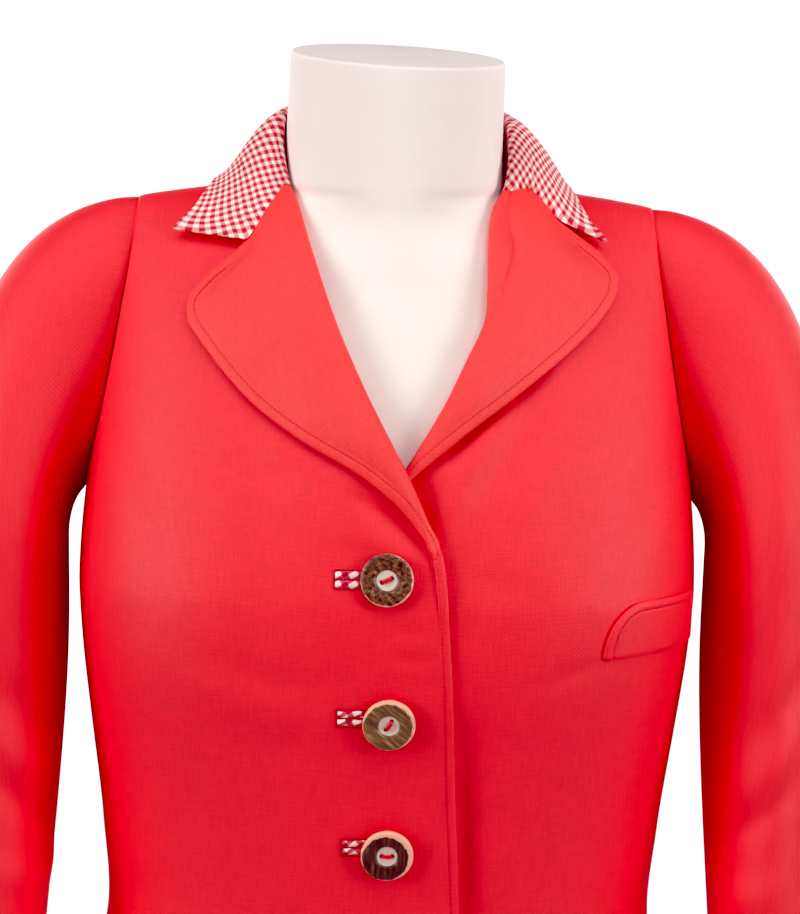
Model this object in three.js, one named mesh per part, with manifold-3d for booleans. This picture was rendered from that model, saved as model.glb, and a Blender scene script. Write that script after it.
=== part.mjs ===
// A woman's trachten jacket in plain red linen on a white, limbless dress form.
//
// Millimetres, +Z up. The front faces -Y and the wearer's left is +X. The origin is the
// bottom centre of the whole, on the flat foot of the form.
//
// One smooth shell describes the outside of the jacket. A place on it has two numbers: an
// angle round the body (0 at the centre front, 90 at the side, 180 at the centre back,
// positive to the wearer's left) and a level, which is the height up to the bust line and
// above it runs up to NECK_POINT on the shoulder ridge. Every panel is cut out of that
// shell, and whatever lies on a panel is made from the same shell, moved out by a lift.

import * as THREE from "three";
import Module from "manifold-3d";
import { mergeVertices } from "three/addons/utils/BufferGeometryUtils.js";

const wasm = await Module();
wasm.setup();

// ---- Driving sizes -------------------------------------------------------------------

const CLOTH = 1.6; // wall of linen with its facing
const SEAM = 0.3; // daylight between two sewn pieces
const HEM = 110;
const BUST = 480;
const UNDERARM = 532;
const NECK_POINT = 700; // top of the shoulder seam, beside the neck
const SHOULDER_NARROWING = 0.1; // how much slimmer the shell is at the shoulder ridge
const LAP = 2.6; // the right front lies this far proud of the left one
const LAP_AT_ROLL = 2.4; // and this much more where it crosses the left lapel

// Level sections of the shell, from the hem to just above the bust line.
const SHELL_SECTIONS = [
  { z: 110, half: 188, front: 106, back: 126, frontSquare: 2.3, backSquare: 2.3 },
  { z: 170, half: 184, front: 103, back: 122, frontSquare: 2.3, backSquare: 2.3 },
  { z: 230, half: 168, front: 98, back: 108, frontSquare: 2.3, backSquare: 2.3 },
  { z: 290, half: 150, front: 95, back: 94, frontSquare: 2.35, backSquare: 2.3 },
  { z: 345, half: 153, front: 104, back: 96, frontSquare: 2.45, backSquare: 2.35 },
  { z: 400, half: 160, front: 115, back: 101, frontSquare: 2.65, backSquare: 2.4 },
  { z: 440, half: 165, front: 122, back: 105, frontSquare: 2.85, backSquare: 2.5 },
  { z: 480, half: 168, front: 125, back: 108, frontSquare: 3, backSquare: 2.5 },
  { z: 520, half: 168, front: 125, back: 109, frontSquare: 3, backSquare: 2.5 },
];

// Height of the shoulder ridge, out from the neck. Inside the neck it is only a guide.
const RIDGE = [
  { x: 0, z: 730 },
  { x: 40, z: 713 },
  { x: 64, z: 700 },
  { x: 96, z: 691 },
  { x: 141, z: 683 },
  { x: 155, z: 677 },
  { x: 172, z: 664 },
];

// The armhole: how far round from the centre front, or the centre back, each half is cut.
const ARMHOLE = [
  { level: 532, front: 90, back: 90 },
  { level: 538, front: 84, back: 83 },
  { level: 550, front: 77, back: 74 },
  { level: 570, front: 70, back: 67 },
  { level: 600, front: 66, back: 63 },
  { level: 642, front: 62.5, back: 62 },
  { level: 700, front: 57, back: 61.3 },
];
const ARMHOLE_CENTRE = { angle: 90, level: 615 };

// Front edges, from the rounded corner at the hem up to the neck. The stretch above
// rollFoot is the fold where the lapel turns back.
const FRONTS = {
  right: {
    edge: [
      { z: 110, x: 12 },
      { z: 114, x: 28 },
      { z: 126, x: 39 },
      { z: 150, x: 45 },
      { z: 210, x: 46 },
      { z: 280, x: 43.5 },
      { z: 330, x: 41 },
      { z: 378, x: 37.5 },
      { z: 433, x: 34 },
      { z: 487, x: 30 },
      { z: 508, x: 25 },
      { z: 533, x: 14.5 },
      { z: 553, x: 6.5 },
      { z: 588, x: -12.5 },
      { z: 623, x: -29 },
      { z: 663, x: -46 },
      { z: 693, x: -57 },
      { z: 700, x: -60.2 },
    ],
    rollFoot: 510,
    rollTop: 693,
    rollRadius: 2.2,
    lapelEdge: [
      { x: 23, z: 507 },
      { x: 4, z: 535 },
      { x: -22, z: 550 },
      { x: -49, z: 567 },
      { x: -76, z: 586 },
      { x: -100, z: 612 },
      { x: -108.5, z: 624 },
      { x: -109, z: 634 },
      { x: -101, z: 645 },
      { x: -79, z: 667 },
    ],
    gorge: [
      { x: -61, z: 693 },
      { x: -79, z: 667 },
    ],
    collarTip: { x: -118, z: 671.5 },
  },
  left: {
    edge: [
      { z: 110, x: 8 },
      { z: 114, x: -8 },
      { z: 126, x: -19 },
      { z: 150, x: -25 },
      { z: 210, x: -26 },
      { z: 433, x: -26 },
      { z: 500, x: -24 },
      { z: 530, x: -9 },
      { z: 553, x: 6.5 },
      { z: 584, x: 24 },
      { z: 605, x: 34.5 },
      { z: 631, x: 48 },
      { z: 670, x: 55.5 },
      { z: 695, x: 59 },
      { z: 700, x: 60.2 },
    ],
    rollFoot: 549,
    rollTop: 695,
    rollRadius: 2.2,
    lapelEdge: [
      { x: 6, z: 547 },
      { x: 15, z: 558 },
      { x: 40, z: 574 },
      { x: 67, z: 594 },
      { x: 93, z: 615 },
      { x: 109, z: 632 },
      { x: 116.5, z: 645 },
      { x: 116.5, z: 655 },
      { x: 108, z: 664 },
      { x: 88, z: 680 },
    ],
    gorge: [
      { x: 63, z: 695 },
      { x: 73.5, z: 696 },
      { x: 80, z: 689 },
      { x: 88, z: 680 },
    ],
    collarTip: { x: 112.5, z: 670.5 },
  },
};
const ROLL_RADIUS_AT_FOOT = 1.2;
const ROLL_SLANT = 1.08; // the roll's inset is measured along X, a little off square
const LAPEL_LIFT = 1.8; // of the underside, at the outer edge
const LAPEL_BOW = 1.6; // extra lift halfway out

// The collar stands round the neck and falls over its own crest. Each row is one share
// of the way from the centre back to the gorge.
const COLLAR_END = 117; // degrees round the neck from the centre back to the gorge
const STAND_RADIUS = 62.5; // outside of the stand
const COLLAR_ROLL = 1.6; // inside radius of the crest
const COLLAR_ROWS = [
  { share: 0, seam: 699, crest: 736, edgeAngle: 0, edgeRadius: 86, edgeLift: 3.2 },
  { share: 0.25, seam: 696, crest: 736, edgeAngle: 28, edgeRadius: 86, edgeLift: 3.2 },
  { share: 0.5, seam: 697, crest: 736, edgeAngle: 56, edgeRadius: 88, edgeLift: 3.2 },
  { share: 0.7, seam: 699, crest: 734, edgeAngle: 79, edgeRadius: 92, edgeLift: 3.2 },
  { share: 0.8, seam: 700, crest: 729, edgeAngle: 91, edgeRadius: 96, edgeLift: 3.2 },
  { share: 0.9, seam: 698, crest: 715, edgeAngle: 101, edgeRadius: 107, edgeLift: 3.2 },
  { share: 1, seam: 693, crest: 699, edgeAngle: 104.7, edgeRadius: 122, edgeLift: 3.2 },
];
const FALL_BOW = 2.5; // how far the fall bellies out between crest and edge
const COLLAR_END_RISE = 2.2; // the end springs clear of the lapel at the notch
const NOTCH_SHARE = 0.5; // of the fall's end that is sewn to the lapel

// Sleeve sections below the cap, hanging a little forward: all plain, slack tubes.
const SLEEVE_SECTIONS = [
  { z: 500, x: 209, y: -4, halfX: 34, halfY: 70 },
  { z: 440, x: 208, y: -6, halfX: 34, halfY: 69 },
  { z: 385, x: 209, y: -9, halfX: 33, halfY: 66 },
  { z: 300, x: 213, y: -16, halfX: 31, halfY: 62 },
  { z: 200, x: 219, y: -26, halfX: 29, halfY: 58 },
  { z: 82, x: 224, y: -36, halfX: 27, halfY: 54 },
];

const BUTTON_PLACES = [
  { x: -1.5, z: 497, turn: 25 },
  { x: 1.5, z: 419.5, turn: 60 },
  { x: 2.5, z: 345.5, turn: 0 },
  { x: 4, z: 272, turn: 40 },
  { x: 5, z: 199, turn: 15 },
];
const BUTTON_RADIUS = 13.5;
const BUTTON_THICKNESS = 4;
const BUTTON_DISH_RADIUS = 6;
const BUTTON_DISH_DEPTH = 1.3;
const BUTTON_STANDOFF = 1.6; // thread shank between cloth and button
const HOLE_RADIUS = 1.2;
const HOLE_SPACING = 5.4;
const THREAD_RADIUS = 0.85;
const SHANK_RADIUS = 1;

const BUTTONHOLE = { before: 31, after: 2.2, height: 10.6 };
const LIP = { slit: 1, thickness: 1.5, proud: 0.5, bridge: 1.2, shankRoom: 2.8 };

// Breast welt on the left front: lower edge from front to back, and a rounded corner.
const WELT = {
  frontX: 115,
  backX: 162,
  frontZ: 454,
  backZ: 460,
  height: 28,
  cornerX: 20,
  lift: 0.6,
  thickness: 1.8,
};

// Dress form: level rings, smooth from the foot to the neck.
const FORM_SECTIONS = [
  { z: 0, half: 166, front: 92, back: 108, square: 2.2 },
  { z: 40, half: 173, front: 97, back: 114, square: 2.2 },
  { z: 110, half: 178, front: 99, back: 117, square: 2.2 },
  { z: 170, half: 174, front: 96, back: 113, square: 2.2 },
  { z: 230, half: 158, front: 90, back: 99, square: 2.2 },
  { z: 290, half: 141, front: 86, back: 85, square: 2.2 },
  { z: 345, half: 144, front: 94, back: 87, square: 2.3 },
  { z: 400, half: 150, front: 103, back: 92, square: 2.4 },
  { z: 440, half: 155, front: 109, back: 96, square: 2.5 },
  { z: 480, half: 157, front: 111, back: 99, square: 2.6 },
  { z: 530, half: 155, front: 104, back: 100, square: 2.5 },
  { z: 560, half: 152, front: 95, back: 98, square: 2.4 },
  { z: 590, half: 149, front: 85, back: 95, square: 2.4 },
  { z: 620, half: 144, front: 73, back: 90, square: 2.3 },
  { z: 640, half: 139, front: 65, back: 85, square: 2.1 },
  { z: 660, half: 130, front: 58, back: 76, square: 1.5 },
  { z: 673, half: 117, front: 56.8, back: 68, square: 1.25 },
  { z: 683, half: 88, front: 56.3, back: 60.5, square: 1.25 },
  { z: 690, half: 66, front: 56, back: 57, square: 1.6 },
  { z: 697, half: 60.2, front: 56, back: 56, square: 1.9 },
  { z: 706, half: 59.2, front: 56, back: 56, square: 2 },
  { z: 720, half: 59, front: 56, back: 56, square: 2 },
  { z: 766, half: 59, front: 56, back: 56, square: 2 },
];
const CAP_SLOPE = { x: -0.048, y: 0.067 }; // the neck is cut a little off level

const FORM_RINGS = { sides: 44, step: 32, fineFrom: 640, fineStep: 7, fineTo: 724, collar: 740 };
const GRID = { front: [20, 9], back: 16, lapel: 14, collar: 28, sleeveSides: 20, button: 28 };

// ---- Small mathematics ---------------------------------------------------------------

const radians = (degrees) => THREE.MathUtils.degToRad(degrees);
const mix = THREE.MathUtils.lerp;
const clamp01 = (value) => THREE.MathUtils.clamp(value, 0, 1);
const ease = (from, to, value) => THREE.MathUtils.smoothstep(value, from, to);
const sideSign = (side) => (side === "right" ? -1 : 1);

// Reads one column of a table smoothly at a value of its key column.
function readTable(rows, key, column, at) {
  const last = rows.length - 1;
  const value = THREE.MathUtils.clamp(at, rows[0][key], rows[last][key]);
  let i = 0;
  while (i < last - 1 && value > rows[i + 1][key]) i += 1;
  const slopeAt = (j) => {
    const low = rows[Math.max(j - 1, 0)];
    const high = rows[Math.min(j + 1, last)];
    return (high[column] - low[column]) / (high[key] - low[key]);
  };
  const span = rows[i + 1][key] - rows[i][key];
  const t = (value - rows[i][key]) / span;
  const fromStart = (1 + 2 * t) * (1 - t) ** 2 * rows[i][column] + t * (1 - t) ** 2 * span * slopeAt(i);
  const fromEnd = t * t * (3 - 2 * t) * rows[i + 1][column] - t * t * (1 - t) * span * slopeAt(i + 1);
  return fromStart + fromEnd;
}

// A point on a rounded rectangle of half sizes 1 and 1, squarer as squareness grows.
function roundedDirection(angle, squareness) {
  const across = Math.sin(angle);
  const deep = Math.cos(angle);
  const reach = (Math.abs(across) ** squareness + Math.abs(deep) ** squareness) ** (-1 / squareness);
  return { across: across * reach, deep: deep * reach };
}

function outlineCurve(rows) {
  const points = rows.map((row) => new THREE.Vector3(row.x, 0, row.z));
  return new THREE.CatmullRomCurve3(points, false, "centripetal");
}

// ---- The shell -----------------------------------------------------------------------

const ridgeHeight = (x) => readTable(RIDGE, "x", "z", Math.abs(x));
const frontFade = (share) => Math.max(0, 1 - share ** 1.35) ** 0.6;
const backFade = (share) => Math.max(0, 1 - share ** 3) ** 0.5;

function shellSection(level) {
  const z = Math.min(level, BUST);
  const share = clamp01((level - BUST) / (NECK_POINT - BUST));
  const read = (column) => readTable(SHELL_SECTIONS, "z", column, z);
  return {
    share,
    half: read("half") * (1 - SHOULDER_NARROWING * ease(0, 1, share)),
    front: read("front") * frontFade(share),
    back: read("back") * backFade(share),
    frontSquare: read("frontSquare"),
    backSquare: read("backSquare"),
  };
}

function shellPoint(angle, level) {
  const section = shellSection(level);
  const isFront = Math.abs(angle) <= 90;
  const direction = roundedDirection(radians(angle), isFront ? section.frontSquare : section.backSquare);
  const x = section.half * direction.across;
  const y = -(isFront ? section.front : section.back) * direction.deep;
  const z = level <= BUST ? level : BUST + (ridgeHeight(x) - BUST) * section.share;
  return new THREE.Vector3(x, y, z);
}

function shellNormal(angle, level) {
  const step = 0.4;
  const top = Math.min(level + step, NECK_POINT);
  const round = shellPoint(angle + step, level).sub(shellPoint(angle - step, level));
  const up = shellPoint(angle, top).sub(shellPoint(angle, top - 2 * step));
  if (round.lengthSq() < 1e-12) return new THREE.Vector3(0, 0, 1);
  return round.cross(up).normalize();
}

function liftedPoint(angle, level, lift) {
  return shellPoint(angle, level).addScaledVector(shellNormal(angle, level), lift);
}

// The place on the front of the shell that lies behind a point of the front view.
function frontPlace(x, z) {
  const share = z <= BUST ? 0 : clamp01((z - BUST) / (ridgeHeight(x) - BUST));
  const level = z <= BUST ? z : BUST + (NECK_POINT - BUST) * share;
  const section = shellSection(level);
  const across = Math.min(Math.abs(x) / section.half, 0.99999);
  const deep = (1 - across ** section.frontSquare) ** (1 / section.frontSquare);
  return { angle: Math.sign(x) * THREE.MathUtils.radToDeg(Math.atan2(across, deep)), level };
}

function onFront(x, z, lift) {
  const place = frontPlace(x, z);
  return liftedPoint(place.angle, place.level, lift);
}

// Height of the shell's upper side over a point of the plan.
function roofHeight(x, y) {
  const isFront = y < 0;
  let share = 0.9;
  for (let pass = 0; pass < 8; pass += 1) {
    const section = shellSection(BUST + (NECK_POINT - BUST) * share);
    const squareness = isFront ? section.frontSquare : section.backSquare;
    const across = Math.min(Math.abs(x) / section.half, 0.999);
    const depth = readTable(SHELL_SECTIONS, "z", isFront ? "front" : "back", BUST);
    const deep = depth * (1 - across ** squareness) ** (1 / squareness);
    const fade = Math.min(Math.abs(y) / deep, 0.999);
    share = isFront ? (1 - fade ** (1 / 0.6)) ** (1 / 1.35) : (1 - fade * fade) ** (1 / 3);
  }
  return BUST + (ridgeHeight(x) - BUST) * share;
}

// How far the right front lies off the shell where it laps over the left one.
function lapLift(side, x, z) {
  if (side === "left") return 0;
  const overlap = ease(-75, -30, x) * (1 - ease(560, 620, z));
  const crossing = ease(505, 540, z) * (1 - ease(560, 600, z)) * ease(-40, -10, x);
  return LAP * overlap + LAP_AT_ROLL * crossing;
}

// ---- Solids --------------------------------------------------------------------------

function geometryFrom(vertices, triangles) {
  const geometry = new THREE.BufferGeometry();
  geometry.setAttribute("position", new THREE.Float32BufferAttribute(vertices, 3));
  geometry.setIndex(triangles);
  geometry.computeVertexNormals();
  return geometry;
}

function signedVolume(vertices, triangles) {
  const [a, b, c] = [new THREE.Vector3(), new THREE.Vector3(), new THREE.Vector3()];
  let volume = 0;
  for (let i = 0; i < triangles.length; i += 3) {
    a.fromArray(vertices, 3 * triangles[i]);
    b.fromArray(vertices, 3 * triangles[i + 1]);
    c.fromArray(vertices, 3 * triangles[i + 2]);
    volume += a.dot(b.cross(c));
  }
  return volume;
}

// Normals of a grid of points, pointing to the side that the first cell's winding gives.
function gridNormals(grid, wrap) {
  const rows = grid.length;
  const columns = grid[0].length;
  return grid.map((row, i) =>
    row.map((_, j) => {
      const before = wrap ? (j + columns - 1) % columns : Math.max(j - 1, 0);
      const after = wrap ? (j + 1) % columns : Math.min(j + 1, columns - 1);
      const along = row[after].clone().sub(row[before]);
      const down = grid[Math.min(i + 1, rows - 1)][j].clone().sub(grid[Math.max(i - 1, 0)][j]);
      return along.cross(down).normalize();
    }),
  );
}

// One closed wall: the grid is one face, the other is moved off it along the normals.
function wallFromGrid(grid, thickness, wrap = false) {
  const rows = grid.length;
  const columns = grid[0].length;
  const normals = gridNormals(grid, wrap);
  const vertices = [];
  for (const reach of [0, thickness]) {
    for (let i = 0; i < rows; i += 1) {
      for (let j = 0; j < columns; j += 1) {
        const point = grid[i][j].clone().addScaledVector(normals[i][j], reach);
        vertices.push(point.x, point.y, point.z);
      }
    }
  }
  const at = (layer, i, j) => layer * rows * columns + i * columns + (j % columns);
  const triangles = [];
  const quad = (a, b, c, d) => triangles.push(a, b, c, a, c, d);
  const lastColumn = wrap ? columns : columns - 1;
  for (let i = 0; i < rows - 1; i += 1) {
    for (let j = 0; j < lastColumn; j += 1) {
      quad(at(0, i, j), at(0, i + 1, j), at(0, i + 1, j + 1), at(0, i, j + 1));
      quad(at(1, i, j), at(1, i, j + 1), at(1, i + 1, j + 1), at(1, i + 1, j));
    }
  }
  for (let j = 0; j < lastColumn; j += 1) {
    quad(at(0, 0, j), at(0, 0, j + 1), at(1, 0, j + 1), at(1, 0, j));
    quad(at(0, rows - 1, j + 1), at(0, rows - 1, j), at(1, rows - 1, j), at(1, rows - 1, j + 1));
  }
  if (!wrap) {
    for (let i = 0; i < rows - 1; i += 1) {
      quad(at(0, i + 1, 0), at(0, i, 0), at(1, i, 0), at(1, i + 1, 0));
      const j = columns - 1;
      quad(at(0, i, j), at(0, i + 1, j), at(1, i + 1, j), at(1, i, j));
    }
  }
  if (signedVolume(vertices, triangles) < 0) triangles.reverse();
  return geometryFrom(vertices, triangles);
}

// Draws one border of a grid back from its neighbour piece.
function trimRow(grid, row, amount = SEAM / 2) {
  const inner = row === 0 ? 1 : row - 1;
  grid[row].forEach((point, j) => {
    point.addScaledVector(grid[inner][j].clone().sub(point).normalize(), amount);
  });
}

function trimColumn(grid, column, amount = SEAM / 2) {
  const inner = column === 0 ? 1 : column - 1;
  grid.forEach((row) => {
    row[column].addScaledVector(row[inner].clone().sub(row[column]).normalize(), amount);
  });
}

function solidFrom(geometry) {
  const bare = geometry.index ? geometry.clone() : geometry;
  bare.deleteAttribute("normal");
  bare.deleteAttribute("uv");
  const merged = mergeVertices(bare, 1e-4);
  return new wasm.Manifold(
    new wasm.Mesh({
      numProp: 3,
      vertProperties: new Float32Array(merged.attributes.position.array),
      triVerts: new Uint32Array(merged.index.array),
    }),
  );
}

function geometryOf(solid) {
  const mesh = solid.getMesh();
  return geometryFrom(Array.from(mesh.vertProperties), Array.from(mesh.triVerts));
}

// ---- Materials -----------------------------------------------------------------------

const matter = (name, color, roughness) => new THREE.MeshStandardMaterial({ name, color, roughness, metalness: 0 });
const MATERIALS = {
  linen: matter("red linen", "#f3353c", 0.85),
  gingham: matter("red and white gingham", "#e88f95", 0.8),
  horn: matter("stag horn", "#6d4a34", 0.5),
  thread: matter("red thread", "#c8202c", 0.8),
  form: matter("white form jersey", "#f4efec", 0.75),
};

const jacket = new THREE.Group();

function addPiece(name, geometry, material, parent = jacket) {
  const mesh = new THREE.Mesh(geometry, material);
  mesh.name = name;
  parent.add(mesh);
  return mesh;
}

// ---- Fronts --------------------------------------------------------------------------

function rollRadius(side, z) {
  const front = FRONTS[side];
  return mix(ROLL_RADIUS_AT_FOOT, front.rollRadius, ease(front.rollFoot, front.rollFoot + 60, z));
}

// X of the seam between a front and its lapel, which below the roll is the front's edge.
function frontSeamX(side, z) {
  const front = FRONTS[side];
  const turned = ease(front.rollFoot - 12, front.rollFoot + 6, z);
  const inset = (rollRadius(side, z) + CLOTH) * ROLL_SLANT * turned;
  return readTable(front.edge, "z", "x", z) + sideSign(side) * inset;
}

// Angle at which a front begins at a level.
function frontStart(side, level) {
  const share = clamp01((level - BUST) / (NECK_POINT - BUST));
  let z = Math.min(level, BUST);
  for (let pass = 0; pass < 12; pass += 1) {
    if (level > BUST) z = BUST + (ridgeHeight(frontSeamX(side, z)) - BUST) * share;
  }
  return frontPlace(frontSeamX(side, Math.min(z, NECK_POINT)), z).angle;
}

const armholeAngle = (half, level) => (level <= UNDERARM ? 90 : readTable(ARMHOLE, "level", half, level));

function panelLevels(count, extra = []) {
  const lowRows = Math.round(count * 0.5);
  const highRows = count - lowRows;
  const low = Array.from({ length: lowRows }, (_, i) => mix(HEM, BUST, i / lowRows));
  const high = Array.from({ length: highRows + 1 }, (_, i) => {
    const t = i / highRows;
    return mix(BUST, NECK_POINT, t + 0.12 * Math.sin(Math.PI * t));
  });
  const corner = [HEM + 5, HEM + 14];
  const all = [...low, ...high, ...corner, UNDERARM, UNDERARM + 6, ...extra];
  return all.sort((a, b) => a - b).filter((level, i, list) => i === 0 || level - list[i - 1] > 2);
}

// More rows where the fold of a lapel starts.
const ROLL_LEVELS = [498, 507, 516, 524, 540, 548, 556, 565];

function frontGrid(side) {
  const sign = sideSign(side);
  const [rows, columns] = GRID.front;
  const grid = panelLevels(rows, ROLL_LEVELS).map((level) => {
    const start = frontStart(side, level);
    const end = sign * armholeAngle("front", level);
    return Array.from({ length: columns + 1 }, (_, j) => {
      const angle = mix(start, end, j / columns);
      const point = shellPoint(angle, level);
      return liftedPoint(angle, level, lapLift(side, point.x, point.z) - CLOTH);
    });
  });
  trimColumn(grid, 0);
  trimColumn(grid, columns);
  trimRow(grid, grid.length - 1, 1.5 * SEAM);
  return grid;
}

// The wall stands outward of the grid, so the two sides run through their columns in
// opposite directions.
function outwardWall(grid, thickness, isLeft) {
  return wallFromGrid(isLeft ? grid : grid.map((row) => [...row].reverse()), thickness);
}

// A frame on the right front: X along the row, Y up the panel, Z out of the cloth.
function frontFrame(x, z, lift) {
  const place = frontPlace(x, z);
  const out = shellNormal(place.angle, place.level);
  const across = new THREE.Vector3(1, 0, 0).addScaledVector(out, -out.x).normalize();
  const up = out.clone().cross(across);
  const frame = new THREE.Matrix4().makeBasis(across, up, out);
  frame.setPosition(onFront(x, z, lift));
  return frame;
}

function buttonholeWindow(place) {
  const length = BUTTONHOLE.before + BUTTONHOLE.after;
  const box = new THREE.BoxGeometry(length, BUTTONHOLE.height, 12);
  box.translate((BUTTONHOLE.after - BUTTONHOLE.before) / 2, 0, 0);
  return box.applyMatrix4(frontFrame(place.x, place.z, LAP));
}

function buildFronts() {
  let right = solidFrom(outwardWall(frontGrid("right"), CLOTH, false));
  for (const place of BUTTON_PLACES) {
    right = right.subtract(solidFrom(buttonholeWindow(place)));
  }
  addPiece("front_right", geometryOf(right), MATERIALS.linen);
  addPiece("front_left", outwardWall(frontGrid("left"), CLOTH, true), MATERIALS.linen);
}

// ---- Back ----------------------------------------------------------------------------

const BACK_NECK_SHARE = 0.393; // of the top row's half that lies under the collar
const BACK_NECK_LEVEL = 672.5;
const BACK_COLUMNS = { shoulder: 6, neck: 4 };

function backShares() {
  const { shoulder, neck } = BACK_COLUMNS;
  const half = [
    ...Array.from({ length: shoulder }, (_, i) => mix(1, BACK_NECK_SHARE, i / shoulder)),
    ...Array.from({ length: neck + 1 }, (_, i) => mix(BACK_NECK_SHARE, 0, i / neck)),
  ];
  return [...half, ...half.slice(0, -1).reverse().map((share) => -share)];
}

function buildBack() {
  const shares = backShares();
  const grid = panelLevels(GRID.back).map((level) =>
    shares.map((share) => {
      const dip = Math.min(Math.abs(share) / BACK_NECK_SHARE, 1);
      const top = mix(BACK_NECK_LEVEL, NECK_POINT, dip ** 2.2);
      const lowered = mix(HEM, top, (level - HEM) / (NECK_POINT - HEM));
      const fromBack = share * armholeAngle("back", lowered);
      const angle = fromBack >= 0 ? 180 - fromBack : -180 - fromBack;
      return liftedPoint(angle, lowered, -CLOTH);
    }),
  );
  trimColumn(grid, 0);
  trimColumn(grid, shares.length - 1);
  trimRow(grid, grid.length - 1, 1.5 * SEAM);
  addPiece("back", outwardWall(grid, CLOTH, true), MATERIALS.linen);
}

// ---- Lapels --------------------------------------------------------------------------

const CURL_ANGLES = [0, 14, 50, 90, 135, 180];
const LAPEL_SHARES = [1, 2, 3, 4, 5, 6].map((sixth) => sixth / 6);

// Underside of the fold between a front and its lapel, at one turn of the curl.
function curlPoint(side, z, turn) {
  const x = frontSeamX(side, z);
  const radius = rollRadius(side, z);
  const base = onFront(x, z, 0);
  const place = frontPlace(x, z);
  const out = shellNormal(place.angle, place.level);
  const along = onFront(frontSeamX(side, z + 1), z + 1, 0).sub(onFront(frontSeamX(side, z - 1), z - 1, 0));
  const open = out.clone().cross(along.normalize()).multiplyScalar(-sideSign(side));
  if (open.x * sideSign(side) > 0) open.negate();
  const lift = lapLift(side, x, z) + radius * (1 - Math.cos(radians(turn)));
  return base.addScaledVector(open, SEAM + radius * Math.sin(radians(turn))).addScaledVector(out, lift);
}

function gorgePoint(side, share) {
  return outlineCurve(FRONTS[side].gorge).getPointAt(share);
}

function lapelLift(side, x, z, share, rollZ) {
  const flat = mix(2 * rollRadius(side, rollZ), LAPEL_LIFT, ease(0, 1, share));
  const bow = LAPEL_BOW * Math.sin(Math.PI * share) * ease(0, 0.4, rollShare(side, rollZ));
  return lapLift(side, x, z) + flat + bow;
}

const rollShare = (side, z) => (z - FRONTS[side].rollFoot) / (FRONTS[side].rollTop - FRONTS[side].rollFoot);

function buildLapel(side) {
  const front = FRONTS[side];
  const edge = outlineCurve(front.lapelEdge);
  const grid = Array.from({ length: GRID.lapel + 1 }, (_, i) => {
    const share = i / GRID.lapel;
    const z = mix(front.rollFoot, front.rollTop, share);
    const start = new THREE.Vector3(frontSeamX(side, z), 0, z);
    const end = edge.getPointAt(share);
    const curl = CURL_ANGLES.map((turn) => curlPoint(side, z, turn));
    const flat = LAPEL_SHARES.map((out) => {
      const point = start.clone().lerp(end, out);
      const sewn = gorgePoint(side, out).sub(gorgePoint(side, 0).lerp(gorgePoint(side, 1), out));
      point.addScaledVector(sewn, ease(0.7, 1, share));
      return onFront(point.x, point.z, lapelLift(side, point.x, point.z, out, z));
    });
    return [...curl, ...flat];
  });
  trimRow(grid, GRID.lapel, 1.5 * SEAM);
  return outwardWall(grid, CLOTH, side === "right");
}

function buildLapels() {
  for (const side of ["right", "left"]) {
    addPiece(`lapel_${side}`, buildLapel(side), MATERIALS.linen);
  }
}

// ---- Collar --------------------------------------------------------------------------

const STAND_HEIGHTS = [0, 0.5, 1];
const CREST_TURNS = [45, 90, 135, 180];
const FALL_SHARES = [...LAPEL_SHARES.map((share) => share * NOTCH_SHARE), 0.66, 0.83, 1];

function collarSection(share) {
  const side = Math.sign(share) || 1;
  const read = (column) => readTable(COLLAR_ROWS, "share", column, Math.abs(share));
  const angle = radians(side * Math.abs(share) * COLLAR_END);
  const outward = new THREE.Vector3(Math.sin(angle), Math.cos(angle), 0);
  const at = (radius, z) => outward.clone().multiplyScalar(radius).setZ(z);
  const centreZ = read("crest") - COLLAR_ROLL - CLOTH;
  const stand = STAND_HEIGHTS.map((height) => at(STAND_RADIUS, mix(read("seam") + SEAM, centreZ, height)));
  const crest = CREST_TURNS.map((turn) =>
    at(
      STAND_RADIUS + COLLAR_ROLL * (1 - Math.cos(radians(turn))),
      centreZ + COLLAR_ROLL * Math.sin(radians(turn)),
    ),
  );
  const edgeAngle = radians(side * read("edgeAngle"));
  const x = read("edgeRadius") * Math.sin(edgeAngle);
  const y = read("edgeRadius") * Math.cos(edgeAngle);
  const edge = new THREE.Vector3(x, y, roofHeight(x, y) + read("edgeLift"));
  const top = crest[crest.length - 1];
  const fall = FALL_SHARES.map((out) => {
    const point = top.clone().lerp(edge, out);
    const bow = FALL_BOW * Math.sin(Math.PI * out);
    return point.addScaledVector(outward, bow * 0.7).setZ(point.z + bow * 0.7);
  });
  return [...stand, ...crest, ...fall];
}

// The collar's front end: sewn to the lapel up to the notch, then free to the tip.
function collarEnd(side) {
  const front = FRONTS[side];
  const stand = [0, 12, 26].map((turn) => curlPoint(side, front.rollTop, turn));
  const crest = CREST_TURNS.map((turn) => curlPoint(side, front.rollTop, turn));
  const notch = front.gorge[front.gorge.length - 1];
  const fall = FALL_SHARES.map((out) => {
    if (out <= NOTCH_SHARE) {
      const share = out / NOTCH_SHARE;
      const point = gorgePoint(side, share);
      const lift = lapelLift(side, point.x, point.z, share, front.rollTop);
      return onFront(point.x, point.z, lift + COLLAR_END_RISE * ease(0.6, 1, share));
    }
    const share = (out - NOTCH_SHARE) / (1 - NOTCH_SHARE);
    const x = mix(notch.x, front.collarTip.x, share);
    const z = mix(notch.z, front.collarTip.z, share);
    return onFront(x, z, LAPEL_LIFT + COLLAR_END_RISE + share);
  });
  return [...stand, ...crest, ...fall];
}

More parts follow.
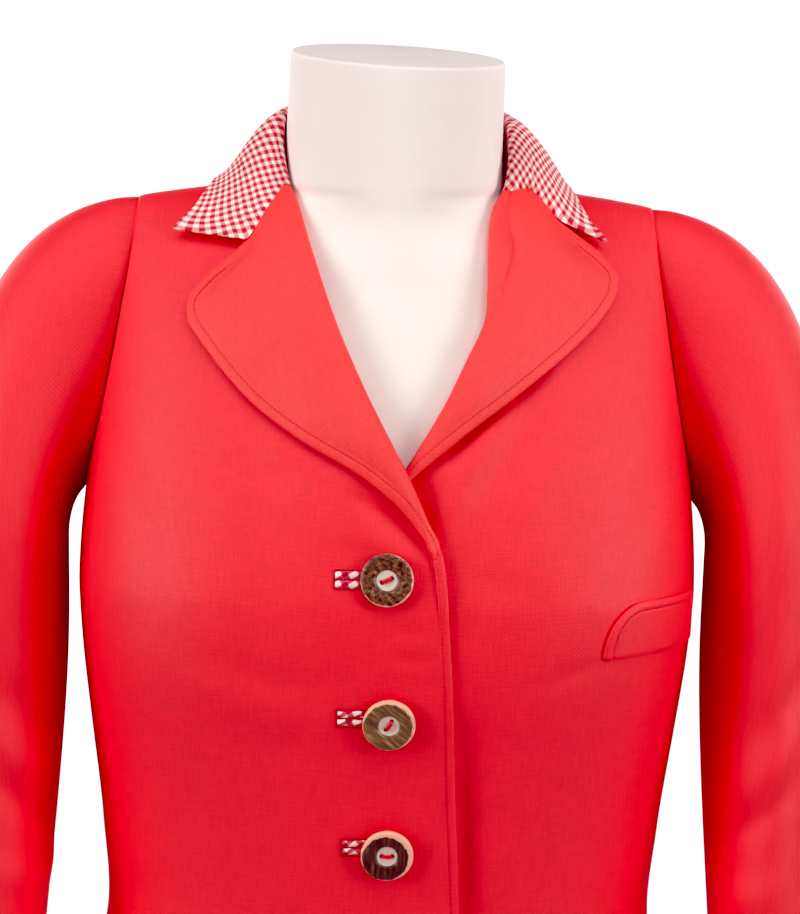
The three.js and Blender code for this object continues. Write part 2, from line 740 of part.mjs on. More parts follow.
function buildCollar() {
  const ends = { right: collarEnd("right"), left: collarEnd("left") };
  const grid = Array.from({ length: GRID.collar + 1 }, (_, i) => {
    const share = mix(-1, 1, i / GRID.collar);
    const side = share < 0 ? "right" : "left";
    const plainEnd = collarSection(Math.sign(share));
    const taken = ease(0.68, 1, Math.abs(share));
    return collarSection(share).map((point, j) =>
      point.addScaledVector(ends[side][j].clone().sub(plainEnd[j]), taken),
    );
  });
  trimRow(grid, 0, 1.5 * SEAM);
  trimRow(grid, GRID.collar, 1.5 * SEAM);
  return outwardWall(grid, CLOTH, false);
}

// ---- Sleeves -------------------------------------------------------------------------

const CAP_STEPS = 6;

function armholePoint(sign, turn) {
  const level = mix(UNDERARM, NECK_POINT, (1 + Math.cos(2 * Math.PI * turn)) / 2);
  const isFront = turn <= 0.5;
  const cut = armholeAngle(isFront ? "front" : "back", level);
  return shellPoint(sign * (isFront ? cut : 180 - cut), level);
}

function sleeveRing(sign, row, turn) {
  const angle = 2 * Math.PI * turn;
  return new THREE.Vector3(
    sign * (row.x + row.halfX * Math.cos(angle)),
    row.y - row.halfY * Math.sin(angle),
    row.z,
  );
}

function buildSleeve(sign) {
  const centre = shellPoint(sign * ARMHOLE_CENTRE.angle, ARMHOLE_CENTRE.level);
  const turns = Array.from({ length: GRID.sleeveSides }, (_, j) => j / GRID.sleeveSides);
  const cap = Array.from({ length: CAP_STEPS }, (_, i) => {
    const t = i / CAP_STEPS;
    return turns.map((turn) => {
      const start = armholePoint(sign, turn);
      start.addScaledVector(centre.clone().sub(start).normalize(), 3 * SEAM);
      const end = sleeveRing(sign, SLEEVE_SECTIONS[0], turn);
      const low = (1 - Math.cos(2 * Math.PI * turn)) / 2;
      const forward = Math.sin(2 * Math.PI * turn);
      const reach = start.distanceTo(end);
      const leave = new THREE.Vector3(sign, -0.3 * forward, -0.08 - 0.6 * low).normalize();
      leave.multiplyScalar(reach * mix(1.15, 0.9, low));
      const arrive = new THREE.Vector3(0, 0, -reach * mix(1.3, 0.9, low));
      return hermitePoint(start, leave, end, arrive, t);
    });
  });
  const tube = SLEEVE_SECTIONS.map((row) => turns.map((turn) => sleeveRing(sign, row, turn)));
  const grid = [...cap, ...tube];
  const inward = sign > 0 ? grid.map((row) => [...row].reverse()) : grid;
  return wallFromGrid(inward, CLOTH, true);
}

function hermitePoint(start, leave, end, arrive, t) {
  return start
    .clone()
    .multiplyScalar((1 + 2 * t) * (1 - t) ** 2)
    .addScaledVector(leave, t * (1 - t) ** 2)
    .addScaledVector(end, t * t * (3 - 2 * t))
    .addScaledVector(arrive, -t * t * (1 - t));
}

// ---- Breast welt ---------------------------------------------------------------------

function buildWelt() {
  const columns = [0, 0.01, 0.04, 0.09, 0.16, 0.25, 0.36, 0.5, 0.65, 0.8, 0.93, 1];
  const grid = [0, 0.33, 0.66, 1].map((up) =>
    columns.map((share) => {
      const x = mix(WELT.frontX, WELT.backX, share);
      const toCorner = clamp01((x - WELT.frontX + 0.3) / WELT.cornerX);
      const height = WELT.height * Math.sqrt(1 - (1 - toCorner) ** 2);
      const z = mix(WELT.frontZ, WELT.backZ, share) + up * height;
      return onFront(x, z, WELT.lift);
    }),
  );
  return outwardWall(grid, WELT.thickness, true);
}

// ---- Buttons, their thread and the buttonhole lips -----------------------------------

function cylinder(radius, low, high, x = 0, sides = 10) {
  const shape = new THREE.CylinderGeometry(radius, radius, high - low, sides);
  shape.rotateX(Math.PI / 2);
  shape.translate(x, 0, (low + high) / 2);
  return solidFrom(shape);
}

function buttonGeometry() {
  const radius = BUTTON_RADIUS;
  const top = BUTTON_THICKNESS;
  const dishFloor = top - BUTTON_DISH_DEPTH;
  const profile = [
    [0, 0],
    [radius - 0.6, 0],
    [radius, 0.6],
    [radius, top - 0.9],
    [radius - 0.8, top],
    [BUTTON_DISH_RADIUS, top],
    [BUTTON_DISH_RADIUS - 1.4, dishFloor],
    [0, dishFloor],
  ].map(([r, z]) => new THREE.Vector2(r, z));
  const turned = new THREE.LatheGeometry(profile, GRID.button);
  turned.rotateX(Math.PI / 2);
  let solid = solidFrom(turned);
  for (const end of [-1, 1]) {
    solid = solid.subtract(cylinder(HOLE_RADIUS, -1, top + 1, (end * HOLE_SPACING) / 2));
  }
  return geometryOf(solid);
}

// Two passes through the button, a stitch across its dish, and a shank wound below it
// that goes through the buttonhole to the left front.
function threadGeometry() {
  const stitch = BUTTON_THICKNESS - BUTTON_DISH_DEPTH + SEAM;
  const bar = new THREE.BoxGeometry(HOLE_SPACING + 2 * THREAD_RADIUS, 2 * THREAD_RADIUS, 1.1);
  bar.translate(0, 0, stitch + 0.55);
  const plateTop = -SEAM;
  const plateFoot = -BUTTON_STANDOFF + SEAM + LIP.proud;
  let solid = solidFrom(bar).add(cylinder(HOLE_SPACING / 2 + THREAD_RADIUS, plateFoot, plateTop, 0, 16));
  for (const end of [-1, 1]) {
    const x = (end * HOLE_SPACING) / 2;
    solid = solid.add(cylinder(THREAD_RADIUS, plateTop - 0.2, stitch + 0.5, x));
  }
  return geometryOf(solid.add(cylinder(SHANK_RADIUS, -BUTTON_STANDOFF - LAP + 2.5 * SEAM, plateTop - SEAM)));
}

// Both lips of a bound buttonhole, joined at the inner end.
function lipsGeometry() {
  const left = -BUTTONHOLE.before + SEAM;
  const right = -LIP.shankRoom;
  const half = BUTTONHOLE.height / 2 - SEAM;
  const slit = LIP.slit / 2;
  const outline = new THREE.Shape();
  outline.moveTo(left, -half);
  outline.lineTo(right, -half);
  outline.lineTo(right, -slit);
  outline.lineTo(left + LIP.bridge, -slit);
  outline.lineTo(left + LIP.bridge, slit);
  outline.lineTo(right, slit);
  outline.lineTo(right, half);
  outline.lineTo(left, half);
  outline.closePath();
  const lips = new THREE.ExtrudeGeometry(outline, { depth: LIP.thickness, bevelEnabled: false });
  return lips.translate(0, 0, LIP.proud - LIP.thickness);
}

function buildFastenings() {
  const horn = buttonGeometry();
  const thread = threadGeometry();
  const lips = lipsGeometry();
  BUTTON_PLACES.forEach((place, index) => {
    const number = index + 1;
    const onCloth = new THREE.Group();
    onCloth.applyMatrix4(frontFrame(place.x, place.z, LAP));
    jacket.add(onCloth);
    addPiece(`buttonhole_lips_${number}`, lips, MATERIALS.gingham, onCloth);
    const turned = new THREE.Group();
    turned.position.z = BUTTON_STANDOFF;
    turned.rotation.z = radians(place.turn);
    onCloth.add(turned);
    addPiece(`button_${number}`, horn, MATERIALS.horn, turned);
    addPiece(`button_thread_${number}`, thread, MATERIALS.thread, turned);
  });
}

// ---- Dress form ----------------------------------------------------------------------

function formHeights() {
  const { step, fineFrom, fineStep, fineTo, collar } = FORM_RINGS;
  const top = FORM_SECTIONS[FORM_SECTIONS.length - 1].z;
  const heights = [];
  for (let z = 0; z < fineFrom; z += step) heights.push(z);
  for (let z = fineFrom; z < fineTo; z += fineStep) heights.push(z);
  return [...heights, collar, top];
}

function buildForm() {
  const heights = formHeights();
  const top = heights.length - 1;
  const sides = FORM_RINGS.sides;
  const vertices = [];
  heights.forEach((z, i) => {
    const read = (column) => readTable(FORM_SECTIONS, "z", column, z);
    for (let j = 0; j < sides; j += 1) {
      const angle = (2 * Math.PI * j) / sides;
      const direction = roundedDirection(angle, read("square"));
      const x = read("half") * direction.across;
      const y = -(direction.deep > 0 ? read("front") : read("back")) * direction.deep;
      const tilt = i === top ? CAP_SLOPE.x * x + CAP_SLOPE.y * y : 0;
      vertices.push(x, y, z + tilt);
    }
  });
  const foot = vertices.length / 3;
  vertices.push(0, 0, 0, 0, 0, heights[top]);
  const triangles = [];
  for (let j = 0; j < sides; j += 1) {
    const next = (j + 1) % sides;
    for (let i = 0; i < top; i += 1) {
      const [a, b] = [i * sides + j, i * sides + next];
      const [c, d] = [(i + 1) * sides + next, (i + 1) * sides + j];
      triangles.push(a, b, c, a, c, d);
    }
    triangles.push(foot, next, j, foot + 1, top * sides + j, top * sides + next);
  }
  if (signedVolume(vertices, triangles) < 0) triangles.reverse();
  return geometryFrom(vertices, triangles);
}

// ---- The whole -----------------------------------------------------------------------

addPiece("dress_form", buildForm(), MATERIALS.form);
buildFronts();
buildBack();
buildLapels();
addPiece("collar", buildCollar(), MATERIALS.gingham);
addPiece("sleeve_right", buildSleeve(-1), MATERIALS.linen);
addPiece("sleeve_left", buildSleeve(1), MATERIALS.linen);
addPiece("breast_welt", buildWelt(), MATERIALS.linen);
buildFastenings();

// The origin is the middle of the whole one's box, at its foot.
const box = new THREE.Box3().setFromObject(jacket);
jacket.position.set(-(box.min.x + box.max.x) / 2, -(box.min.y + box.max.y) / 2, -box.min.z);
jacket.updateMatrixWorld(true);

export default jacket;
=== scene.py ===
"""The looks of a woman's trachten jacket in red linen, worn by a white limbless dress form.

Sizes are in millimetres unless a name says otherwise, +Z up, with the front facing -Y and
the wearer's left at +X. One smooth shell describes the outside of the jacket. A place on it
is an angle round the body (0 at the centre front, 90 at the side, 180 at the centre back,
positive to the wearer's left) and a level, which is the height up to the bust line and
above it runs up to NECK_POINT on the shoulder ridge. Every panel is a grid laid on that
shell, with its creases, rolled edges and stitching added.
"""

import logging
import math
from dataclasses import dataclass
from enum import Enum
from typing import Any, NamedTuple

import bmesh
import bpy
import numpy as np
from bmesh.types import BMesh
from bpy.types import Material, NodeSocket, NodeTree, Object
from mathutils import Matrix, Vector
from mathutils.bvhtree import BVHTree


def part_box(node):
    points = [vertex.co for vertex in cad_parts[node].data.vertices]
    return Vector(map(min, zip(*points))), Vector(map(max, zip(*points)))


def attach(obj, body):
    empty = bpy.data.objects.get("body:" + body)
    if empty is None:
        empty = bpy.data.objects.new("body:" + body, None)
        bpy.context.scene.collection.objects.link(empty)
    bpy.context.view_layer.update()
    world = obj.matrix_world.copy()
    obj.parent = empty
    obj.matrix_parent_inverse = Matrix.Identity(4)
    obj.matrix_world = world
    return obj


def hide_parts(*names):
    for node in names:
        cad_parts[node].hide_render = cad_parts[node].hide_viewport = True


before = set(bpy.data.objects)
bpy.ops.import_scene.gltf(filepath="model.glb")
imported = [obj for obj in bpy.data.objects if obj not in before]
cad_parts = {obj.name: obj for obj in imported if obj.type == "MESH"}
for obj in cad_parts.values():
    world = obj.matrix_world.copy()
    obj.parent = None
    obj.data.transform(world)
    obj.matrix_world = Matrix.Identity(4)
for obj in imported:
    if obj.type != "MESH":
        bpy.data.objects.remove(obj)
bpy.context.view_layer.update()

LOG = logging.getLogger("trachten_jacket")
Array = np.ndarray

# ---- Driving sizes -------------------------------------------------------------------

MM = 0.001
CLOTH = 1.6  # wall of linen with its facing
SEAM = 0.3  # daylight between two sewn pieces
HEM = 110.0
BUST = 480.0
UNDERARM = 532.0
NECK_POINT = 700.0  # top of the shoulder seam, beside the neck
SHOULDER_NARROWING = 0.1
FRONT_SLOPE, FRONT_FALL = 1.35, 0.6  # how the depth closes to nothing at the shoulder ridge
BACK_SLOPE, BACK_FALL = 3, 0.5
LAP = 2.6  # the right front lies this far proud of the left one
LAP_AT_ROLL = 2.4  # and this much more where it crosses the left lapel
FORM_DEEPEST = 111.0  # the form's own reach forward of its neck's axis
FORM_LOW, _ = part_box("dress_form")
SHIFT = np.array([0.0, FORM_LOW[1] / MM + FORM_DEEPEST, 0.0])  # neck's axis in the frame


class Side(Enum):
    """The wearer's two sides."""

    RIGHT = -1
    LEFT = 1

    @property
    def label(self) -> str:
        """The side's name as the CAD nodes write it."""
        return self.name.lower()


class LevelSection(NamedTuple):
    """One level section of the shell or the form."""

    z: float
    half: float
    front: float
    back: float
    front_square: float
    back_square: float


class OnRidge(NamedTuple):
    """Height of the shoulder ridge at a distance out from the neck's axis."""

    x: float
    z: float


class ArmholeCut(NamedTuple):
    """How far round each half is cut at a level, in degrees."""

    level: float
    front: float
    back: float


class EdgePoint(NamedTuple):
    """A point of a front's edge in the front view."""

    z: float
    x: float


class CollarRow(NamedTuple):
    """One section of the collar, by its share of the way from centre back to gorge."""

    share: float
    seam: float
    crest: float
    edge_angle: float
    edge_radius: float


class SleeveSection(NamedTuple):
    """One level section of a sleeve."""

    z: float
    x: float
    y: float
    half_x: float
    half_y: float


def table_of(kind: type, *rows: tuple) -> tuple:
    """A table whose rows are named, from rows of bare values."""
    return tuple(kind(*row) for row in rows)


SHELL_SECTIONS = table_of(
    LevelSection,
    (110, 188, 106, 126, 2.3, 2.3), (170, 184, 103, 122, 2.3, 2.3), (230, 168, 98, 108, 2.3, 2.3),
    (290, 150, 95, 94, 2.35, 2.3), (345, 153, 104, 96, 2.45, 2.35),
    (400, 160, 115.2, 101, 2.65, 2.4), (420, 162.6, 119.9, 103, 2.75, 2.45),
    (440, 165, 123.5, 105, 2.85, 2.5), (460, 166.8, 125.2, 106.8, 2.94, 2.5),
    (480, 168, 125.5, 108, 3, 2.5), (520, 168, 125, 109, 3, 2.5),
)

RIDGE = table_of(
    OnRidge,
    (0, 730), (40, 713), (64, 700), (96, 694), (120, 690.5), (141, 686.5), (155, 680.5), (172, 667),
)

ARMHOLE = table_of(
    ArmholeCut,
    (532, 90, 90), (538, 84, 83), (550, 77, 74), (570, 70, 67), (600, 66, 63), (642, 62.5, 62),
    (700, 57, 61.3),
)

FORM_SECTIONS = table_of(
    LevelSection,
    (0, 166, 92, 108, 2.2, 2.2), (40, 173, 97, 114, 2.2, 2.2), (110, 178, 99, 117, 2.2, 2.2),
    (170, 174, 96, 113, 2.2, 2.2), (230, 158, 90, 99, 2.2, 2.2), (290, 141, 86, 85, 2.2, 2.2),
    (345, 144, 94, 87, 2.3, 2.3), (400, 150, 103, 92, 2.4, 2.4), (440, 155, 109, 96, 2.5, 2.5),
    (480, 157, 113, 99, 2.6, 2.6), (530, 155, 109, 100, 2.5, 2.5), (560, 152, 102.5, 98, 2.4, 2.4),
    (590, 149, 91, 95, 2.4, 2.4), (620, 144, 76, 90, 2.3, 2.3), (640, 139, 66.8, 85, 2.1, 2.1),
    (660, 130, 61.4, 76, 1.6, 1.5), (673, 112, 58.5, 68, 1.38, 1.25),
    (683, 83, 57, 60.5, 1.5, 1.25), (690, 63.8, 56.8, 57, 1.75, 1.6),
    (697, 60.2, 56.7, 56, 1.95, 1.9), (706, 59.2, 56.3, 56, 2, 2), (720, 59, 56, 56, 2, 2),
    (766, 58.2, 56, 56, 2, 2),
)

# ---- Small mathematics ---------------------------------------------------------------


def mix(low: Any, high: Any, share: Any) -> Any:
    """Goes from low to high by a share."""
    return low + (high - low) * share


def ease(start: float, end: float, value: Any) -> Any:
    """Eases from 0 at start to 1 at end, level at both."""
    t = np.clip((value - start) / (end - start), 0.0, 1.0)
    return t * t * (3.0 - 2.0 * t)


def cubic(start: Any, leave: Any, arrive: Any, end: Any, t: Any) -> Array:
    """Runs smoothly from start at t = 0 to end at t = 1, with a slope at each of them."""
    from_start = start * (1 + 2 * t) * (1 - t) ** 2 + leave * t * (1 - t) ** 2
    return from_start + end * t * t * (3 - 2 * t) - arrive * t * t * (1 - t)


def read_table(rows: tuple, key: str, column: str, at: Any) -> Array:
    """Reads one column of a table smoothly at values of its key column.

    Args:
        rows: the table's rows, in rising order of the key.
        key: name of the key column.
        column: name of the column to read.
        at: where to read it.

    Returns:
        The column's values there.
    """
    keys = np.array([getattr(row, key) for row in rows], float)
    values = np.array([getattr(row, column) for row in rows], float)
    where = np.clip(np.asarray(at, float), keys[0], keys[-1])
    low = np.clip(np.searchsorted(keys, where, side="left") - 1, 0, len(keys) - 2)
    ahead = np.minimum(np.arange(len(keys)) + 1, len(keys) - 1)
    behind = np.maximum(np.arange(len(keys)) - 1, 0)
    slopes = (values[ahead] - values[behind]) / (keys[ahead] - keys[behind])
    span = keys[low + 1] - keys[low]
    ends = (values[low], span * slopes[low], span * slopes[low + 1], values[low + 1])
    return cubic(*ends, (where - keys[low]) / span)


def unit(vectors: Array) -> Array:
    """Scales an array of vectors to length 1."""
    length = np.linalg.norm(vectors, axis=-1, keepdims=True)
    return vectors / np.maximum(length, 1e-9)


def run_lengths(points: Array, axis: int = 0) -> Array:
    """Length run along a line of points, or along one axis of a grid of them."""
    steps = np.linalg.norm(np.diff(points, axis=axis), axis=-1)
    return np.insert(np.cumsum(steps, axis=axis), 0, 0.0, axis=axis)


def stack(x: Any, y: Any, z: Any) -> Array:
    """Joins three coordinate arrays into points."""
    return np.stack(np.broadcast_arrays(x, y, z), axis=-1).astype(float)


def squared_ring(angle: Array, square: Array) -> tuple[Array, Array]:
    """Places across and ahead on a unit ring drawn out toward a square, from radians."""
    across, deep = np.sin(angle), np.cos(angle)
    reach = (np.abs(across) ** square + np.abs(deep) ** square) ** (-1 / square)
    return across * reach, deep * reach


def sewn_dip(gap: Any, depth: float = 0.8, width: float = 1.6) -> Array:
    """How far cloth is drawn in at a distance from a seam, below 0."""
    return -depth * np.exp(-((np.maximum(gap, 0) / width) ** 2))


class Outline:
    """A smooth open curve in the front view through a few points (x, z)."""

    STEPS = 40

    def __init__(self, points: tuple) -> None:
        """Draws the curve.

        Args:
            points: the (x, z) points that the curve runs through.
        """
        ends = np.array(points, float)
        first = 2 * ends[0] - ends[1]
        last = 2 * ends[-1] - ends[-2]
        guides = np.vstack([first, ends, last])
        pieces = [self._stretch(guides[i : i + 4]) for i in range(len(ends) - 1)]
        self.line = np.vstack([*pieces, ends[-1:]])
        self.run = run_lengths(self.line)

    def _stretch(self, four: Array) -> Array:
        """Points of the centripetal curve between the middle two of four guides."""
        gaps = np.maximum(np.sum(np.diff(four, axis=0) ** 2, axis=1) ** 0.25, 1e-4)
        before, here, after = gaps
        p0, p1, p2, p3 = four
        leave = (p1 - p0) / before - (p2 - p0) / (before + here) + (p2 - p1) / here
        arrive = (p2 - p1) / here - (p3 - p1) / (here + after) + (p3 - p2) / after
        t = np.linspace(0, 1, self.STEPS, endpoint=False)[:, None]
        return cubic(p1, leave * here, arrive * here, p2, t)

    @property
    def length(self) -> float:
        """The curve's length."""
        return float(self.run[-1])

    def at(self, share: Any) -> Array:
        """The curve's points at shares of its length."""
        run = np.asarray(share, float) * self.length
        x = np.interp(run, self.run, self.line[:, 0])
        return np.stack([x, np.interp(run, self.run, self.line[:, 1])], axis=-1)

    def inward(self, share: Any, turn: float) -> Array:
        """Unit vectors square to the curve, a quarter turn from its run, by turn's sign."""
        step = 0.006  # of the length
        ahead = self.at(np.clip(np.asarray(share) + step, 0, 1))
        run = unit(ahead - self.at(np.clip(np.asarray(share) - step, 0, 1)))
        return np.stack([-run[..., 1], run[..., 0]], axis=-1) * turn

    def distance(self, x: Array, z: Array) -> tuple[Array, Array]:
        """How far points are from the curve.

        Args:
            x: the points' x.
            z: the points' z.

        Returns:
            Their distances, and the share of the length at which each is nearest.
        """
        nearest = np.full(x.shape, 1e9)
        share = np.zeros(x.shape)
        for i in range(len(self.line) - 1):
            start, step = self.line[i], self.line[i + 1] - self.line[i]
            size = max(float(step @ step), 1e-9)
            t = np.clip(((x - start[0]) * step[0] + (z - start[1]) * step[1]) / size, 0, 1)
            away = np.hypot(x - start[0] - t * step[0], z - start[1] - t * step[1])
            closer = away < nearest
            nearest = np.where(closer, away, nearest)
            share = np.where(closer, mix(self.run[i], self.run[i + 1], t) / self.length, share)
        return nearest, share


@dataclass(frozen=True)
class Crease:
    """A soft ridge (rise above 0) or trough (rise below 0) that fades at both ends.

    Its points are in the panel's own two directions: x and z on a front or the back.
    """

    points: tuple
    rise: float
    width: float

    def height(self, x: Array, z: Array) -> Array:
        """How far the cloth is moved out at each point."""
        line = np.array(self.points, float)
        reach = 3 * self.width
        low, high = line.min(axis=0) - reach, line.max(axis=0) + reach
        near = (x > low[0]) & (x < high[0]) & (z > low[1]) & (z < high[1])
        height = np.zeros(x.shape)
        if near.any():
            away, share = Outline(self.points).distance(x[near], z[near])
            fade = np.sin(np.pi * np.clip(share, 0.0, 1.0)) ** 0.7
            height[near] = self.rise * np.exp(-((away / self.width) ** 2)) * fade
        return height


def creased(creases: tuple, x: Array, z: Array) -> Array:
    """The joint height of several creases."""
    return sum((crease.height(x, z) for crease in creases), np.zeros(x.shape))


@dataclass(frozen=True)
class RolledEdge:
    """An edge turned, pressed and topstitched: it swells, and dips at the stitching."""

    stitch: float
    swell: float = 0.45
    dip: float = 0.6
    groove: float = 0.55
    rim: float = 0.35
    rim_width: float = 0.5

    def height(self, away: Array) -> Array:
        """How far the cloth is moved out at a distance from its edge."""
        inside = np.clip(away / self.stitch, 0, 1)
        swell = self.swell * np.sin(np.pi * inside) ** 0.7
        rim = -self.rim * np.exp(-away / self.rim_width)
        return swell + rim - self.dip * self.mark(away)

    def mark(self, away: Array) -> Array:
        """How much of the stitching's dimple there is at a distance from the edge."""
        return np.exp(-(((away - self.stitch) / self.groove) ** 2))


# ---- The shell -----------------------------------------------------------------------


class Shell:
    """The outside of the jacket's body, by angle and level."""

    def ridge(self, x: Any) -> Array:
        """Height of the shoulder ridge."""
        return read_table(RIDGE, "x", "z", np.abs(x))

    def section(self, level: Array) -> dict[str, Array]:
        """The level section's half sizes and squareness."""
        z = np.minimum(level, BUST)
        share = np.clip((level - BUST) / (NECK_POINT - BUST), 0, 1)
        columns = ("half", "front", "back", "front_square", "back_square")
        values = {name: read_table(SHELL_SECTIONS, "z", name, z) for name in columns}
        values["half"] = values["half"] * (1 - SHOULDER_NARROWING * ease(0, 1, share))
        values["front"] = values["front"] * np.maximum(0, 1 - share**FRONT_SLOPE) ** FRONT_FALL
        values["back"] = values["back"] * np.maximum(0, 1 - share**BACK_SLOPE) ** BACK_FALL
        values["share"] = share
        return values

    def point(self, angle: Any, level: Any) -> Array:
        """Points of the shell at angles in degrees and levels."""
        angle, level = np.broadcast_arrays(np.asarray(angle, float), np.asarray(level, float))
        section = self.section(level)
        is_front = np.abs(angle) <= 90
        square = np.where(is_front, section["front_square"], section["back_square"])
        across, deep = squared_ring(np.radians(angle), square)
        x = section["half"] * across
        y = -np.where(is_front, section["front"], section["back"]) * deep
        z = np.where(level <= BUST, level, BUST + (self.ridge(x) - BUST) * section["share"])
        return stack(x, y, z)

    def normal(self, angle: Any, level: Any) -> Array:
        """Outward unit normals of the shell."""
        step = 0.4  # in degrees and in millimetres
        top = np.minimum(np.asarray(level, float) + step, NECK_POINT)
        around = self.point(angle + step, level) - self.point(angle - step, level)
        up = self.point(angle, top) - self.point(angle, top - 2 * step)
        return unit(np.cross(around, up))

    def lifted(self, angle: Any, level: Any, lift: Any) -> Array:
        """Points of the shell, moved out."""
        out = self.normal(angle, level)
        return self.point(angle, level) + out * np.asarray(lift, float)[..., None]

    def front_place(self, x: Any, z: Any) -> tuple[Array, Array]:
        """The angle and level on the front that lie behind points of the front view."""
        x, z = np.broadcast_arrays(np.asarray(x, float), np.asarray(z, float))
        share = np.where(z <= BUST, 0, np.clip((z - BUST) / (self.ridge(x) - BUST), 0, 1))
        level = np.where(z <= BUST, z, BUST + (NECK_POINT - BUST) * share)
        section = self.section(level)
        square = section["front_square"]
        across = np.minimum(np.abs(x) / section["half"], 0.99999)
        deep = (1 - across**square) ** (1 / square)
        return np.sign(x) * np.degrees(np.arctan2(across, deep)), level

    def on_front(self, x: Any, z: Any, lift: Any) -> Array:
        """Points of the front behind the front view's x and z, moved out."""
        angle, level = self.front_place(x, z)
        return self.lifted(angle, level, np.broadcast_to(np.asarray(lift, float), angle.shape))

    def roof(self, x: Array, y: Array) -> Array:
        """Height of the shell's upper side over points of the plan."""
        is_front = y < 0
        share = np.full(x.shape, 0.9)
        deepest = {half: read_table(SHELL_SECTIONS, "z", half, BUST) for half in ("front", "back")}
        for _ in range(8):
            section = self.section(BUST + (NECK_POINT - BUST) * share)
            square = np.where(is_front, section["front_square"], section["back_square"])
            across = np.minimum(np.abs(x) / section["half"], 0.999)
            depth = np.where(is_front, deepest["front"], deepest["back"])
            fade = np.minimum(np.abs(y) / (depth * (1 - across**square) ** (1 / square)), 0.999)
            front_share = (1 - fade ** (1 / FRONT_FALL)) ** (1 / FRONT_SLOPE)
            back_share = (1 - fade ** (1 / BACK_FALL)) ** (1 / BACK_SLOPE)
            share = np.where(is_front, front_share, back_share)
        return BUST + (self.ridge(x) - BUST) * share

    def lap(self, side: Side, x: Any, z: Any) -> Array:
        """How far a front lies off the shell: the right one laps over the left one."""
        if side is Side.LEFT:
            return np.zeros(np.broadcast(x, z).shape)
        overlap = ease(-75, -30, x) * (1 - ease(560, 620, z))
        crossing = ease(505, 540, z) * (1 - ease(560, 600, z)) * ease(-40, -10, x)
        return LAP * overlap + LAP_AT_ROLL * crossing


SHELL = Shell()


def armhole_angle(half: str, level: Any) -> Array:
    """How far round a half of the body reaches at a level before the armhole cuts it."""
    cut = read_table(ARMHOLE, "level", half, level)
    return np.where(np.asarray(level) <= UNDERARM, 90.0, cut)


# ---- Nodes and finishes --------------------------------------------------------------


def linear(colour: str) -> tuple[float, float, float, float]:
    """Turns an sRGB hex colour such as #a01020 to linear red, green, blue and alpha."""
    parts = [int(colour[i : i + 2], 16) / 255 for i in (1, 3, 5)]
    red, green, blue = [c / 12.92 if c <= 0.04045 else ((c + 0.055) / 1.055) ** 2.4 for c in parts]
    return red, green, blue, 1.0


def add_node(tree: NodeTree, kind: str, inputs: dict | None = None, **settings: Any) -> Any:
    """Adds a node with its settings and links.

    Args:
        tree: the node tree to add it to.
        kind: the node's type name, without the leading ShaderNode.
        inputs: what each input socket is set to, or the output socket linked to it.
        settings: the node's own properties.

    Returns:
        The new node.
    """
    made = tree.nodes.new(f"ShaderNode{kind}")
    for name, value in settings.items():
        setattr(made, name, value)
    for name, value in (inputs or {}).items():
        if isinstance(value, NodeSocket):
            tree.links.new(value, made.inputs[name])
        else:
            made.inputs[name].default_value = value
    return made


